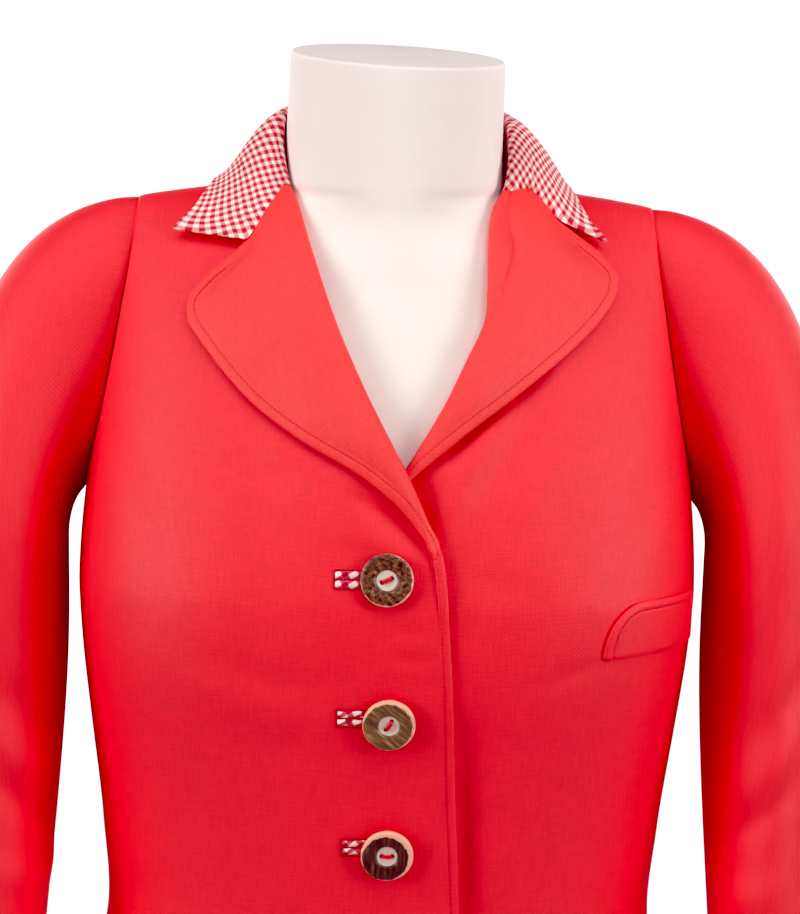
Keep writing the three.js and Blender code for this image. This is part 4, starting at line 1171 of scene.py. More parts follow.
@dataclass
class Lapel:
    """One lapel: it leaves the front's edge, rolls over and lies back on the front."""

    cut: FrontCut
    finishes: Finishes
    lift: float = 2.6  # of the underside, at the outer edge
    bow: float = 2.2  # extra lift halfway out
    sunk: float = 1.3  # of the foot, into the front's stitched band
    roll: RolledEdge = RolledEdge(3.9, 0.22, 0.4, 0.4)
    band: float = 6.6
    rows: int = 200

    def curl(self, z: Array, turn: Array) -> Array:
        """Underside of the fold between front and lapel, at a turn in degrees."""
        x = self.cut.seam_x(z)
        radius = self.cut.radius(z)
        angle, level = SHELL.front_place(x, z)
        out = SHELL.normal(angle, level)
        ahead = SHELL.on_front(self.cut.seam_x(z + 1), z + 1, 0.0)
        along = unit(ahead - SHELL.on_front(self.cut.seam_x(z - 1), z - 1, 0.0))
        opened = np.cross(out, along)
        opened *= -np.sign(opened[..., :1] * self.cut.side.value)
        lift = SHELL.lap(self.cut.side, x, z) + radius * (1 - np.cos(np.radians(turn))) + self.dive(z)
        beyond = SEAM + radius * np.sin(np.radians(turn))
        return SHELL.point(angle, level) + opened * beyond[..., None] + out * lift[..., None]

    def dive(self, z: Any) -> Array:
        """How far the lapel's foot sinks into the front's stitched band."""
        return -self.sunk * (1 - ease(self.cut.roll_foot - 1.5, self.cut.roll_foot + 3, z))

    def lying(self, x: Any, z: Any, share: Any, roll_z: Any) -> Array:
        """How far the lapel's underside lies off the shell."""
        flat = mix(2 * self.cut.radius(roll_z), self.lift, ease(0, 1, share))
        up = (roll_z - self.cut.roll_foot) / (self.cut.roll_top - self.cut.roll_foot)
        bow = self.bow * np.sin(np.pi * np.clip(share, 0, 1)) * ease(0, 0.4, up)
        return SHELL.lap(self.cut.side, x, z) + flat + bow + self.dive(roll_z)

    def columns(self) -> tuple[Array, Array]:
        """Turns of the curl's columns, and places of the flat part's columns.

        Returns:
            The turns in degrees, and places from 0 at the roll to 1 at the band and 2 at
            the edge.
        """
        return np.linspace(0, 172, 12), spread(((0.0, 1.0, 34), (1.0, 2.0, 15)))

    def flat_points(self, share: Array, place: Array) -> tuple:
        """Front-view points of the part that lies on the front.

        Args:
            share: of the way up the roll, by row.
            place: of the way out, by column.

        Returns:
            The x and z of the points and their shares of the way from roll to edge.
        """
        z = mix(self.cut.roll_foot, self.cut.roll_top, share)
        start = np.stack([self.cut.seam_x(z), z], axis=-1)
        edge = Outline(self.cut.lapel_edge)
        end = edge.at(share)
        width = np.linalg.norm(end - start, axis=-1)
        square = edge.inward(share, -1.0 if self.cut.side is Side.RIGHT else 1.0)
        back = unit(start - end)
        square = unit(mix(square, back, ease(0.9, 1.0, share)[:, None]))
        square = unit(mix(back, square, ease(0.0, 0.12, share)[:, None]))
        band = np.minimum(self.band, 0.55 * width)
        inner = end + square * band[:, None]
        low = np.clip(place, 0, 1)[None, :, None]
        high = np.clip(place - 1, 0, 1)[None, :, None]
        points = mix(mix(start[:, None], inner[:, None], low), end[:, None], high)
        outward = np.linalg.norm(points - start[:, None], axis=-1)
        shares = np.clip(outward / np.maximum(width[:, None], 1e-6), 0, 1)
        sewn = self.gorge_bend(shares) * ease(0.7, 1, share)[:, None, None]
        points = points + sewn
        return points[..., 0], points[..., 1], shares

    def gorge_bend(self, share: Array) -> Array:
        """How far the gorge seam bends off its own chord."""
        gorge = Outline(self.cut.gorge)
        chord = mix(gorge.at(0.0), gorge.at(1.0), share[..., None])
        return gorge.at(share) - chord

    def build(self) -> Object:
        share = np.linspace(0, 1, self.rows + 1)
        # The last row stops short of the collar's seam, and the first dips under the foot.
        share = share - 0.0012 * share - 0.008 * (1 - share) ** 8
        turns, places = self.columns()
        z = mix(self.cut.roll_foot, self.cut.roll_top, share)
        level_z, turn = np.meshgrid(z, turns, indexing="ij")
        curl = self.curl(level_z, turn)
        x, height, out = self.flat_points(share, places)
        away, _ = Outline(self.cut.lapel_edge).distance(x, height)
        near = (ease(0.02, 0.09, share) * (1 - ease(0.9, 0.96, share)))[:, None]
        lift = self.lying(x, height, out, z[:, None]) + self.roll.height(away) * near
        lift = lift + creased(self.waves(), x, height)
        flat = SHELL.on_front(x, height, lift)
        grid = np.concatenate([curl, flat], axis=1)
        marks = np.concatenate([np.zeros(curl.shape[:2]), self.roll.mark(away) * near], axis=1)
        cut = np.stack([run_lengths(grid, 1), run_lengths(grid)], axis=-1)
        name = f"lapel_{self.cut.side.label}"
        # The lapels wear the linen's lighter copy, which is painted light.
        piece = ClothPiece(f"linen_{name}", self.finishes.lit_facing, (0, 60, 600))
        made = piece.build(grid, cut, marks)
        return dress(made, "red_linen", name)

    def waves(self) -> tuple:
        """The lapel's own slow unevenness."""
        if self.cut.side is Side.RIGHT:
            return (
                Crease(((-95, 626), (-70, 616), (-45, 640)), 0.7, 12.0),
                Crease(((-30, 592), (-52, 590), (-76, 604)), -0.5, 9.0),
            )
        return (
            Crease(((59, 696), (58, 677), (61, 664), (56, 644), (53, 626)), -2.3, 2.6),
            Crease(((98, 628), (94, 650), (80, 668)), 0.7, 9.0),
        )


# ---- Collar --------------------------------------------------------------------------

COLLAR_ROWS = table_of(
    CollarRow,
    (0, 699, 736, 0, 86), (0.25, 696, 736, 28, 86), (0.5, 697, 736, 56, 88),
    (0.7, 699, 734, 79, 92), (0.8, 700, 729, 91, 96), (0.9, 698, 715, 101, 107),
    (1, 693, 699, 104.7, 122),
)


@dataclass
class Collar:
    """The gingham collar: it stands round the neck and falls over its own crest."""

    lapels: dict
    finishes: Finishes
    end_angle: float = 117.0  # round the neck, from the centre back to the gorge
    stand_radius: float = 60.8
    roll: float = 1.6
    edge_lift: float = 3.2
    fall_bow: float = 4.4
    side_bow: float = 4.8  # more of it over the shoulders
    end_rise: float = 2.2  # the end springs clear of the lapel at the notch
    notch: float = 0.5  # of the fall's end that is sewn to the lapel
    rows: int = 260
    settling: int = 900  # passes
    patch: int = 4  # grid cells along each side of a patch
    fittings: int = 120  # passes
    lean: float = -1.5  # of the neck, to the wearer's right
    edge_roll: RolledEdge = RolledEdge(3.0, 0.25, 0.0, 0.5)
    roll_share: float = 0.6  # of that roll's height: the fall is one thin cloth at its edge

    def columns(self) -> tuple[Array, Array, Array]:
        """Heights of the stand, turns of the crest and shares of the fall."""
        fall = spread(((0.0, 0.92, 30), (0.92, 1.0, 8)))[1:]
        return np.linspace(0, 1, 8), np.linspace(0, 180, 11)[1:], fall

    def section(self, share: Array) -> Array:
        """Plain sections of the collar, by row and column."""
        stand, crest, fall = self.columns()
        away = np.abs(share)
        side = np.where(share < 0, -1.0, 1.0)
        angle = np.radians(side * away * self.end_angle)
        outward = stack(np.sin(angle), np.cos(angle), 0.0)[:, None, :]
        aside = np.array([self.lean, 0.0, 0.0])
        top = read_table(COLLAR_ROWS, "share", "crest", away) - self.roll - CLOTH
        seam = read_table(COLLAR_ROWS, "share", "seam", away) + SEAM
        up = np.array([0.0, 0.0, 1.0])
        height = mix(seam[:, None], top[:, None], stand)
        stand_points = outward * self.stand_radius + up * height[..., None]
        turn = np.radians(crest)
        reach = self.stand_radius + self.roll * (1 - np.cos(turn))
        rise = top[:, None] + self.roll * np.sin(turn)
        crest_points = outward * reach[None, :, None] + up * rise[..., None]
        edge_angle = np.radians(side * read_table(COLLAR_ROWS, "share", "edge_angle", away))
        edge_radius = read_table(COLLAR_ROWS, "share", "edge_radius", away)
        x, y = edge_radius * np.sin(edge_angle), edge_radius * np.cos(edge_angle)
        edge = stack(x, y, SHELL.roof(x, y) + self.edge_lift)[:, None, :]
        fall_points = mix(crest_points[:, -1:], edge, fall[None, :, None])
        return np.concatenate([stand_points, crest_points, fall_points], axis=1) + aside

    def end(self, side: Side) -> Array:
        """The front end: sewn to the lapel up to the notch, then free to the tip."""
        lapel = self.lapels[side]
        cut = lapel.cut
        stand, crest, fall = self.columns()
        turns = np.concatenate(
            [np.interp(stand, [0, 0.5, 1], [0, 12, 26]), np.interp(crest, [0, 45, 180], [26, 45, 180])]
        )
        curl = lapel.curl(np.full(turns.shape, cut.roll_top), turns)
        gorge = Outline(cut.gorge)
        sewn = np.clip(fall / self.notch, 0, 1)
        on_gorge = gorge.at(sewn)
        lift = lapel.lying(on_gorge[:, 0], on_gorge[:, 1], sewn, np.full(sewn.shape, cut.roll_top))
        lift = lift + self.end_rise * ease(0.6, 1, sewn)
        joined = SHELL.on_front(on_gorge[:, 0], on_gorge[:, 1], lift)
        free = np.clip((fall - self.notch) / (1 - self.notch), 0, 1)
        x = mix(cut.gorge[-1][0], cut.collar_tip[0], free)
        z = mix(cut.gorge[-1][1], cut.collar_tip[1], free)
        beyond = SHELL.on_front(x, z, lapel.lift + self.end_rise + free)
        fall_points = np.where((fall <= self.notch)[:, None], joined, beyond)
        return np.concatenate([curl, fall_points])

    def build(self) -> Object:
        share = np.linspace(-1, 1, self.rows + 1) * (1 - 0.0025)  # clear of both lapels' seams
        grid = self.section(share)
        plain = {side: self.section(np.array([float(side.value)]))[0] for side in Side}
        taken = ease(0.68, 1, np.abs(share))[:, None, None]
        for side, rows in ((Side.RIGHT, share < 0), (Side.LEFT, share >= 0)):
            grid[rows] += (self.end(side) - plain[side])[None] * taken[rows]
        grid = self.settled(grid)
        cut = self.flat_map(grid)
        rolled = self.edge_roll.height(self.from_edge(grid)) * self.roll_share
        grid = grid + self.normals(grid) * rolled[..., None]
        piece = ClothPiece("gingham_collar", self.finishes.gingham, (0, 0, 660))
        made = piece.build(grid, cut)
        return dress(made, "gingham", "collar")

    def from_edge(self, grid: Array) -> Array:
        """How far along its row each point is from the fall's edge."""
        return run_lengths(grid[:, ::-1], 1)[:, ::-1]

    def normals(self, grid: Array) -> Array:
        """Unit normals of the grid, out of the fall's face."""
        around = np.gradient(grid, axis=0)
        across = np.gradient(grid, axis=1)
        normal = unit(np.cross(around, across))
        middle = normal[self.rows // 2, -12]
        return normal if middle[1] > 0 else -normal

    def settled(self, grid: Array) -> Array:
        """The collar with its fall hung evenly between the crest, the edge and its ends."""
        stand, crest, _ = self.columns()
        first = len(stand) + len(crest) - 3  # the crest's last columns settle with the fall
        fall = grid[:, first:].copy()
        for _ in range(self.settling):
            around = fall[2:, 1:-1] + fall[:-2, 1:-1] + fall[1:-1, 2:] + fall[1:-1, :-2]
            fall[1:-1, 1:-1] = around / 4
        out = self.normals(grid)[:, first:]
        across = np.sin(np.pi * np.linspace(0, 1, fall.shape[1]) ** 0.7)[None, :, None]
        free = np.sin(np.pi * np.linspace(0, 1, fall.shape[0]))[:, None, None] ** 0.25
        share = np.abs(np.linspace(-1, 1, fall.shape[0]))[:, None, None]
        bow = self.fall_bow + self.side_bow * np.exp(-(((share - 0.77) / 0.12) ** 2))
        return np.concatenate([grid[:, :first], fall + out * across * free * bow], axis=1)

    def flat_map(self, grid: Array) -> Array:
        """The cut, laid flat by rolling the cloth out from the centre back along its edge.

        Near both ends the cloth turns in its own plane as its edge does, so the checks
        stay square there. Round the back they ease by as much the other way.
        """
        middle = self.rows // 2
        edge = grid[:, -1]
        step = np.diff(edge, axis=0)
        size = np.linalg.norm(step, axis=-1)
        run = unit(np.gradient(edge, axis=0))
        inward = grid[:, -8] - edge
        inward = unit(inward - run * np.sum(inward * run, axis=-1, keepdims=True))
        bend = np.sum(np.diff(run, axis=0) * 0.5 * (inward[1:] + inward[:-1]), axis=-1)
        share = np.linspace(-1, 1, self.rows + 1)
        kept = ease(0.05, 0.35, np.abs((share[1:] + share[:-1]) / 2))
        turn = np.zeros(self.rows)
        for half in (slice(0, middle), slice(middle, self.rows)):
            owed = np.sum(bend[half] * kept[half]) / np.sum(size[half] * (1 - kept[half]))
            turn[half] = bend[half] * kept[half] - owed * size[half] * (1 - kept[half])
        heading = np.concatenate([[0.0], np.cumsum(turn)])
        heading -= heading[middle]

        mid = (heading[1:] + heading[:-1]) / 2
        walk = np.stack([np.cos(mid), np.sin(mid)], axis=-1) * size[:, None]
        laid = np.concatenate([[[0.0, 0.0]], np.cumsum(walk, axis=0)])
        laid -= laid[middle]
        across = self.from_edge(grid)[..., None]
        left = np.stack([-np.sin(heading), np.cos(heading)], axis=-1)[:, None]
        flat = self.flattened(laid[:, None] + across * left, grid)
        fall = grid.shape[1] // 2
        for end, half in ((0, -1.0), (-1, 1.0)):
            slope = flat[end, fall] - flat[end, -1]
            near = ease(0.3, 1.0, share * half)[:, None]
            high = flat[..., 1] - flat[:, -1:, 1]
            flat[..., 0] -= near * high * slope[0] / slope[1]
        return flat

    def flattened(self, start: Array, grid: Array) -> Array:
        """Lays the collar flat patch by patch, each turned to fit its neighbours.

        Args:
            start: a rough flat map by row and column; the ends of its outer edge are kept.
            grid: the cloth's points by row and column.

        Returns:
            The map, with as little stretch near the ends as the shape allows.
        """
        size = self.patch
        rows = np.arange(0, grid.shape[0], size)
        columns = np.unique(np.append(np.arange(0, grid.shape[1], size), grid.shape[1] - 1))
        along = (np.diff(grid, axis=0)[:, 1:] + np.diff(grid, axis=0)[:, :-1]) / 2
        across = (np.diff(grid, axis=1)[1:] + np.diff(grid, axis=1)[:-1]) / 2

        def joined(values: Array) -> Array:
            """Sums the cells' values over each patch."""
            return np.add.reduceat(np.add.reduceat(values, rows[:-1], axis=0), columns[:-1], axis=1)

        long, wide = np.linalg.norm(along, axis=-1), np.linalg.norm(across, axis=-1)
        slant = joined(np.sum(along * across, axis=-1)) / joined(long * wide)
        first = joined(long) / np.diff(columns)
        second = joined(wide) / size
        sides = np.zeros((*first.shape, 2, 2))
        sides[..., 0, 0] = first
        sides[..., 0, 1] = second * slant
        sides[..., 1, 1] = second * np.sqrt(1 - slant**2)
        share = np.abs(np.linspace(-1, 1, len(rows)))
        firm = mix(0.03, 1.0, ease(0.1, 0.4, (share[1:] + share[:-1]) / 2))[:, None]
        stiff = (firm * second / first, firm * first / second)

        number = np.arange(len(rows) * len(columns)).reshape(len(rows), len(columns))
        links = (
            ((number[:-1, :-1], number[1:, :-1]), (number[:-1, 1:], number[1:, 1:])),
            ((number[:-1, :-1], number[:-1, 1:]), (number[1:, :-1], number[1:, 1:])),
        )
        flat = start[np.ix_(rows, columns)].reshape(-1, 2)
        held = np.full(number.shape, 1e-6)
        held[share > 0.55, -1] = 10.0
        held = held.reshape(-1, 1)
        weights = np.diag(held[:, 0])
        for pairs, stiffness in zip(links, stiff):
            for a, b in pairs:
                for one, other in ((a, b), (b, a)):
                    np.add.at(weights, (one, one), stiffness)
                    np.add.at(weights, (one, other), -stiffness)
        solve = np.linalg.inv(weights)
        kept = held * flat
        for _ in range(self.fittings):
            now = [(flat[p[0][1]] - flat[p[0][0]] + flat[p[1][1]] - flat[p[1][0]]) / 2 for p in links]
            shape = sum(
                way[..., :, None] * sides[..., None, :, k] * stiff[k][..., None, None]
                for k, way in enumerate(now)
            )
            turn = np.arctan2(
                shape[..., 1, 0] - shape[..., 0, 1], shape[..., 0, 0] + shape[..., 1, 1]
            )
            c, s = np.cos(turn), np.sin(turn)
            pull = kept.copy()
            for k, pairs in enumerate(links):
                x, y = sides[..., 0, k], sides[..., 1, k]
                aim = np.stack([c * x - s * y, s * x + c * y], axis=-1) * stiff[k][..., None]
                for a, b in pairs:
                    np.add.at(pull, b, aim)
                    np.add.at(pull, a, -aim)
            flat = solve @ pull
        return self._filled(flat.reshape(*number.shape, 2), grid, rows, columns)

    def _filled(self, flat: Array, grid: Array, rows: Array, columns: Array) -> Array:
        """Fills in a flat map of the patches' corners at every point of the grid."""
        run = run_lengths(grid, 1)[rows]
        filled = np.empty((len(rows), grid.shape[1], 2))
        for row in range(len(rows)):
            for axis in (0, 1):
                filled[row, :, axis] = np.interp(run[row], run[row][columns], flat[row, :, axis])
        every = np.arange(grid.shape[0])
        place = np.interp(every, rows, np.arange(len(rows)))
        low = np.minimum(place.astype(int), len(rows) - 2)
        part = (place - low)[:, None, None]
        return mix(filled[low], filled[low + 1], part)


# ---- Sleeves -------------------------------------------------------------------------

SLEEVE_SECTIONS = table_of(
    SleeveSection,
    (82, 224, -36, 27, 54), (200, 219, -26, 29, 58), (300, 213, -16, 31, 62),
    (385, 209, -9, 33, 66), (440, 208, -6, 34, 69), (500, 209, -4, 34, 70),
)
CUFF, CAP_FOOT = SLEEVE_SECTIONS[0].z, SLEEVE_SECTIONS[-1].z

# Points are (degrees round the sleeve, from the outer side forward; height).
SLEEVE_CREASES = table_of(
    Crease,
    (((30, 470), (70, 430), (120, 400)), -2.6, 11.0),
    (((40, 430), (80, 396), (130, 372)), 2.0, 10.0),
    (((60, 385), (110, 360), (160, 350)), -2.4, 9.0),
    (((-120, 372), (-70, 352), (-20, 348)), -2.0, 10.0),
    (((-130, 330), (-80, 320), (-24, 326)), 1.8, 10.0),
    (((70, 330), (120, 318), (164, 322)), 1.8, 9.0), (((20, 290), (30, 230), (24, 160)), 1.6, 14.0),
    (((100, 280), (92, 220), (96, 150)), -1.8, 14.0),
    (((-60, 280), (-54, 220), (-62, 140)), -1.6, 14.0),
    (((10, 480), (0, 420), (8, 360)), 1.8, 14.0),
)


@dataclass
class Sleeve:
    """One set-in sleeve: a cap eased into the armhole and a plain, slack tube below."""

    side: Side
    finishes: Finishes
    cap_rows: int = 56
    tube_rows: int = 130
    columns: int = 112
    hem_roll: RolledEdge = RolledEdge(stitch=9.0, swell=0.3)
    centre: tuple = (90.0, 615.0)  # angle and level of the armhole's middle
    right_scale: float = 0.82  # keeps the right sleeve's creases from mirroring the left's
    shared_angle: float = 30.0  # degrees round, where the creases of both agree

    def armhole(self, turn: Array) -> Array:
        """Points of the armhole's edge, by share of a turn from the shoulder forward."""
        level = mix(UNDERARM, NECK_POINT, (1 + np.cos(2 * np.pi * turn)) / 2)
        is_front = turn <= 0.5
        cut = np.where(is_front, armhole_angle("front", level), armhole_angle("back", level))
        return SHELL.point(self.side.value * np.where(is_front, cut, 180 - cut), level)

    def tube(self, z: Array, turn: Array) -> Array:
        """Points of the tube below the cap."""
        x, y, half_x, half_y = (
            read_table(SLEEVE_SECTIONS, "z", name, z) for name in ("x", "y", "half_x", "half_y")
        )
        angle = 2 * np.pi * turn
        return stack(self.side.value * (x + half_x * np.cos(angle)), y - half_y * np.sin(angle), z)

    def cap(self, t: Array, turn: Array) -> Array:
        """Points of the cap, from the armhole at t = 0 to the tube at t = 1."""
        middle = SHELL.point(self.side.value * self.centre[0], self.centre[1])
        start = self.armhole(turn)
        start = start + unit(middle - start) * 3 * SEAM
        end = self.tube(np.full(turn.shape, CAP_FOOT), turn)
        low = (1 - np.cos(2 * np.pi * turn)) / 2
        forward = np.sin(2 * np.pi * turn)
        reach = np.linalg.norm(end - start, axis=-1)
        leave = unit(stack(self.side.value, -0.3 * forward, -0.08 - 0.6 * low))
        leave = leave * (reach * mix(1.15, 0.9, low))[..., None]
        arrive = stack(0 * low, 0 * low, -reach * mix(1.3, 0.9, low))
        return cubic(start, leave, arrive, end, t[..., None])

    def build(self) -> Object:
        turns = np.linspace(0, 1, self.columns + 1)
        t, turn = np.meshgrid(np.linspace(0, 1, self.cap_rows, endpoint=False), turns, indexing="ij")
        heights = spread(((CAP_FOOT, CUFF + 12, self.tube_rows), (CUFF + 12, CUFF, 14)))
        z, tube_turn = np.meshgrid(heights, turns, indexing="ij")
        grid = np.concatenate([self.cap(t, turn), self.tube(z, tube_turn)])
        grid = grid + self.outward(grid) * self.relief(grid, turns)[..., None]
        grid[:, -1] = grid[:, 0]
        around = run_lengths(grid, 1)
        cut = np.stack([around, -run_lengths(grid)], axis=-1)
        mark = self.hem_roll.mark(grid[..., 2] - CUFF)
        name = f"sleeve_{self.side.label}"
        core = (self.side.value * 212, -10, 350)
        piece = ClothPiece(f"linen_{name}", self.finishes.linen, core, closed=True)
        made = piece.build(grid, cut, mark)
        return dress(made, "red_linen", name)

    def outward(self, grid: Array) -> Array:
        """Unit normals of the tube, out of it."""
        wrapped = np.concatenate([grid[:, -2:-1], grid, grid[:, 1:2]], axis=1)
        around = (wrapped[:, 2:] - wrapped[:, :-2]) * self.side.value
        normal = unit(np.cross(np.gradient(grid, axis=0), around))
        outer = normal[-20, 0, 0] * self.side.value
        return normal if outer > 0 else -normal

    def relief(self, grid: Array, turns: Array) -> Array:
        """Creases, the seam's dip at the armhole and the rolled cuff, less the wall."""
        degrees = np.where(turns <= 0.5, turns * 360, turns * 360 - 360)
        z = grid[..., 2]
        around = np.broadcast_to(degrees[None, :], z.shape)
        scale = 1.0 if self.side is Side.LEFT else self.right_scale
        folds = creased(SLEEVE_CREASES, mix(self.shared_angle, around, scale), z)
        rows = np.arange(grid.shape[0])[:, None]
        seam = sewn_dip(rows, 0.7)
        settled = ease(3, 30, rows)
        cuff = np.where(z < CUFF + 30, self.hem_roll.height(z - CUFF), 0.0)
        return folds * settled + seam + cuff - CLOTH


# ---- Breast welt ---------------------------------------------------------------------


@dataclass
class BreastWelt:
    """The slanted welt on the left front, rounded and piped at its front corner."""

    finishes: Finishes
    front_x: float = 115.0
    back_x: float = 162.0
    front_z: float = 454.0
    back_z: float = 457.5
    height: float = 28.0
    back_rise: float = 2.4
    corner_x: float = 20.0
    lift: float = 0.6
    thickness: float = 1.8
    roll: RolledEdge = RolledEdge(3.2, 0.4, 0.8, 0.45)

    def share(self, x: Array) -> Array:
        """How far along the welt x lies, from its front end to its back one."""
        return (x - self.front_x) / (self.back_x - self.front_x)

    def low(self, x: Array) -> Array:
        """Height of the welt's lower edge."""
        return mix(self.front_z, self.back_z, self.share(x))

    def top(self, x: Array) -> Array:
        """Height of the welt over its lower edge."""
        along = np.clip((x - self.front_x + 0.02) / self.corner_x, 0, 1)
        rounded = self.height * np.sqrt(1 - (1 - along) ** 2)
        level = self.front_z + rounded + self.back_rise * self.share(x)
        return np.maximum(level - self.low(x), 0.2)

    def build(self) -> Object:
        share = spread(((0.0, 0.15, 26), (0.15, 1.0, 44))) ** 1.25
        up = np.linspace(0, 1, 48)
        upward, across = np.meshgrid(up, share, indexing="ij")
        x = mix(self.front_x, self.back_x, across)
        z = self.low(x) + upward * self.top(x)
        rim_x = mix(self.front_x, self.back_x, np.linspace(0, 1, 60) ** 2)
        rim = Outline(tuple(zip(rim_x, self.low(rim_x) + self.top(rim_x))))
        away, _ = rim.distance(x, z)
        sewn = sewn_dip(upward * self.top(x), 0.9, 1.3)
        grid = SHELL.on_front(x, z, self.lift + self.roll.height(away) + sewn)
        cut = np.stack([x, z], axis=-1)
        piece = ClothPiece("linen_breast_welt", self.finishes.linen, (0, 0, 460), self.thickness)
        made = piece.build(grid, cut, self.roll.mark(away))
        return dress(made, "red_linen", "breast_welt")


# ---- Fastenings ----------------------------------------------------------------------


class ButtonPlace(NamedTuple):
    """Where a button sits, its holes' turn, its horn's marks, and its lips' bias and place."""

    x: float
    z: float
    turn: float
    pattern: HornPattern
    bias: float
    lip_rise: float = 0.0
    lip_start: float = -27.2


BUTTON_PLACES = (
    ButtonPlace(-1.5, 495.8, 25, HornPattern.BLOTCHED, 45),
    ButtonPlace(1.5, 420.7, 60, HornPattern.SLANTED, 49, 1.9),
    ButtonPlace(2.5, 347.5, 0, HornPattern.UPRIGHT, 41, 2.8, -24.0),
    ButtonPlace(4, 272, 40, HornPattern.BLOTCHED, 47),
    ButtonPlace(5, 199, 15, HornPattern.SLANTED, 44),
)


@dataclass
class Fastening:
    """One horn button, the thread that holds it and its bound buttonhole."""

    number: int
    place: ButtonPlace
    finishes: Finishes
    radius: float = 14.0
    thickness: float = 4.0
    dish_radius: float = 6.4
    dish_depth: float = 1.3
    standoff: float = 1.6
    hole_radius: float = 1.2
    hole_spacing: float = 5.4
    strand: float = 0.48  # radius of the thread
    lip_end: float = -2.8
    lip_half: float = 5.0
    slit_half: float = 0.35
    lip_wall: float = 0.7
    lip_slant: float = 0.45  # of the checks, drawn askew as the roll was turned

    def seat(self) -> Matrix:
        """A frame on the right front: X along the row, Y up the panel, Z out of it."""
        x, z = np.array([self.place.x]), np.array([self.place.z])
        angle, level = SHELL.front_place(x, z)
        out = Vector(SHELL.normal(angle, level)[0])
        across = (Vector((1, 0, 0)) - out * out.x).normalized()
        up = out.cross(across)
        centre = Vector(SHELL.on_front(x, z, LAP)[0] + SHIFT)
        placed = Matrix((across, up, out)).transposed().to_4x4()
        placed.translation = centre * MM
        return placed @ Matrix.Scale(MM, 4)

    def lip_seat(self) -> Matrix:
        """The frame of the buttonhole, which sits a little above the button's middle."""
        return self.seat() @ Matrix.Translation((0, self.place.lip_rise, 0))

    def turned(self) -> Matrix:
        """The button's own frame, clear of the cloth and turned to its holes."""
        lifted = Matrix.Translation((0, 0, self.standoff))
        return self.seat() @ lifted @ Matrix.Rotation(math.radians(self.place.turn), 4, "Z")

    def button(self) -> Object:
        """Builds the button: a turned slice, dished, with two holes through it."""
        top = self.thickness
        floor = top - self.dish_depth
        outer, dish = self.radius, self.dish_radius
        rim = ((outer - 1.0, 0.0), (outer - 0.3, 0.3), (outer, 1.1), (outer, top - 1.4),
               (outer - 0.35, top - 0.6), (outer - 1.1, top - 0.1), (outer - 2.2, top))
        hollow = ((dish + 0.5, top), (dish - 0.1, top - 0.25),
                  (dish - 0.9, floor + 0.25), (dish - 1.9, floor))
        profile = ((0.0, 0.0), *rim, *hollow, (0.0, floor - 0.1))
        bm = bmesh.new()
        line = [bm.verts.new((r, 0, z)) for r, z in profile]
        edges = [bm.edges.new(pair) for pair in zip(line, line[1:])]
        bmesh.ops.spin(bm, geom=line + edges, cent=(0, 0, 0), axis=(0, 0, 1), dvec=(0, 0, 0),
                       angle=2 * math.pi, steps=72, use_merge=True, use_duplicate=False)
        bmesh.ops.remove_doubles(bm, verts=bm.verts, dist=1e-4)
        bmesh.ops.recalc_face_normals(bm, faces=bm.faces)
        horn = self.finishes.horn[self.place.pattern]
        made = mesh_object(f"horn_button_{self.number}", bm, horn)
        self._drill(made, horn)
        mesh = made.data
        layer = mesh.uv_layers.new(name="cut")
        turn = Matrix.Rotation(math.radians(self.place.turn), 2)
        for loop in mesh.loops:
            spot = mesh.vertices[loop.vertex_index].co
            layer.data[loop.index].uv = turn @ Vector((spot.x, spot.y)) * MM
        mesh.transform(self.turned())
        mesh.shade_smooth()
        return dress(made, "horn", f"button_{self.number}")

    def _drill(self, made: Object, horn: Material) -> None:
        """Takes the two thread holes out of a button."""
        bm = bmesh.new()
        for end in (-1, 1):
            place = Matrix.Translation((end * self.hole_spacing / 2, 0, self.thickness / 2))
            bmesh.ops.create_cone(bm, cap_ends=True, segments=24, radius1=self.hole_radius,
                                  radius2=self.hole_radius, depth=self.thickness + 4, matrix=place)
        drill = mesh_object("drill", bm, self.finishes.thread)
        cut = made.modifiers.new("holes", "BOOLEAN")
        cut.operation = "DIFFERENCE"
        cut.object = drill
        cut.solver = "EXACT"
        bpy.context.view_layer.update()
        graph = bpy.context.evaluated_depsgraph_get()
        drilled = bpy.data.meshes.new_from_object(made.evaluated_get(graph))
        made.modifiers.clear()
        old = made.data
        made.data = drilled
        drilled.materials.clear()
        drilled.materials.append(horn)
        bpy.data.meshes.remove(old)
        bpy.data.objects.remove(drill)

    def thread(self) -> Object:
        """Builds the thread: strands across the dish, and a shank wound under it."""
        floor = self.thickness - self.dish_depth
        reach = self.hole_spacing / 2
        strands = bmesh.new()
        for offset in (-0.55, 0.0, 0.55):
            rise = floor + 1.25 - 0.25 * abs(offset)
            low = offset * 0.6
            up = ((1.0, low, -0.3), (1.0, low, floor - 0.2), (0.82, offset, floor + 0.75))
            left = tuple((-reach * x, y, z) for x, y, z in up)
            right = tuple((reach * x, y, z) for x, y, z in reversed(up))
            path = (*left, (0.0, offset * 1.25, rise), *right)
            add_tube(strands, path, self.strand)
        foot = -self.standoff - LAP + 2.2 * SEAM
        for step in range(7):
            height = mix(foot + 0.4, -0.5, step / 6)
            spot = Matrix.Translation((0, 0, height)) @ Matrix.Diagonal((1.35, 1.35, 0.5, 1))
            bmesh.ops.create_uvsphere(strands, u_segments=16, v_segments=8, radius=0.9, matrix=spot)
        bmesh.ops.transform(strands, matrix=self.turned(), verts=strands.verts)
        made = mesh_object(f"button_thread_of_{self.number}", strands, self.finishes.thread)
        return dress(made, "thread", f"button_thread_{self.number}")

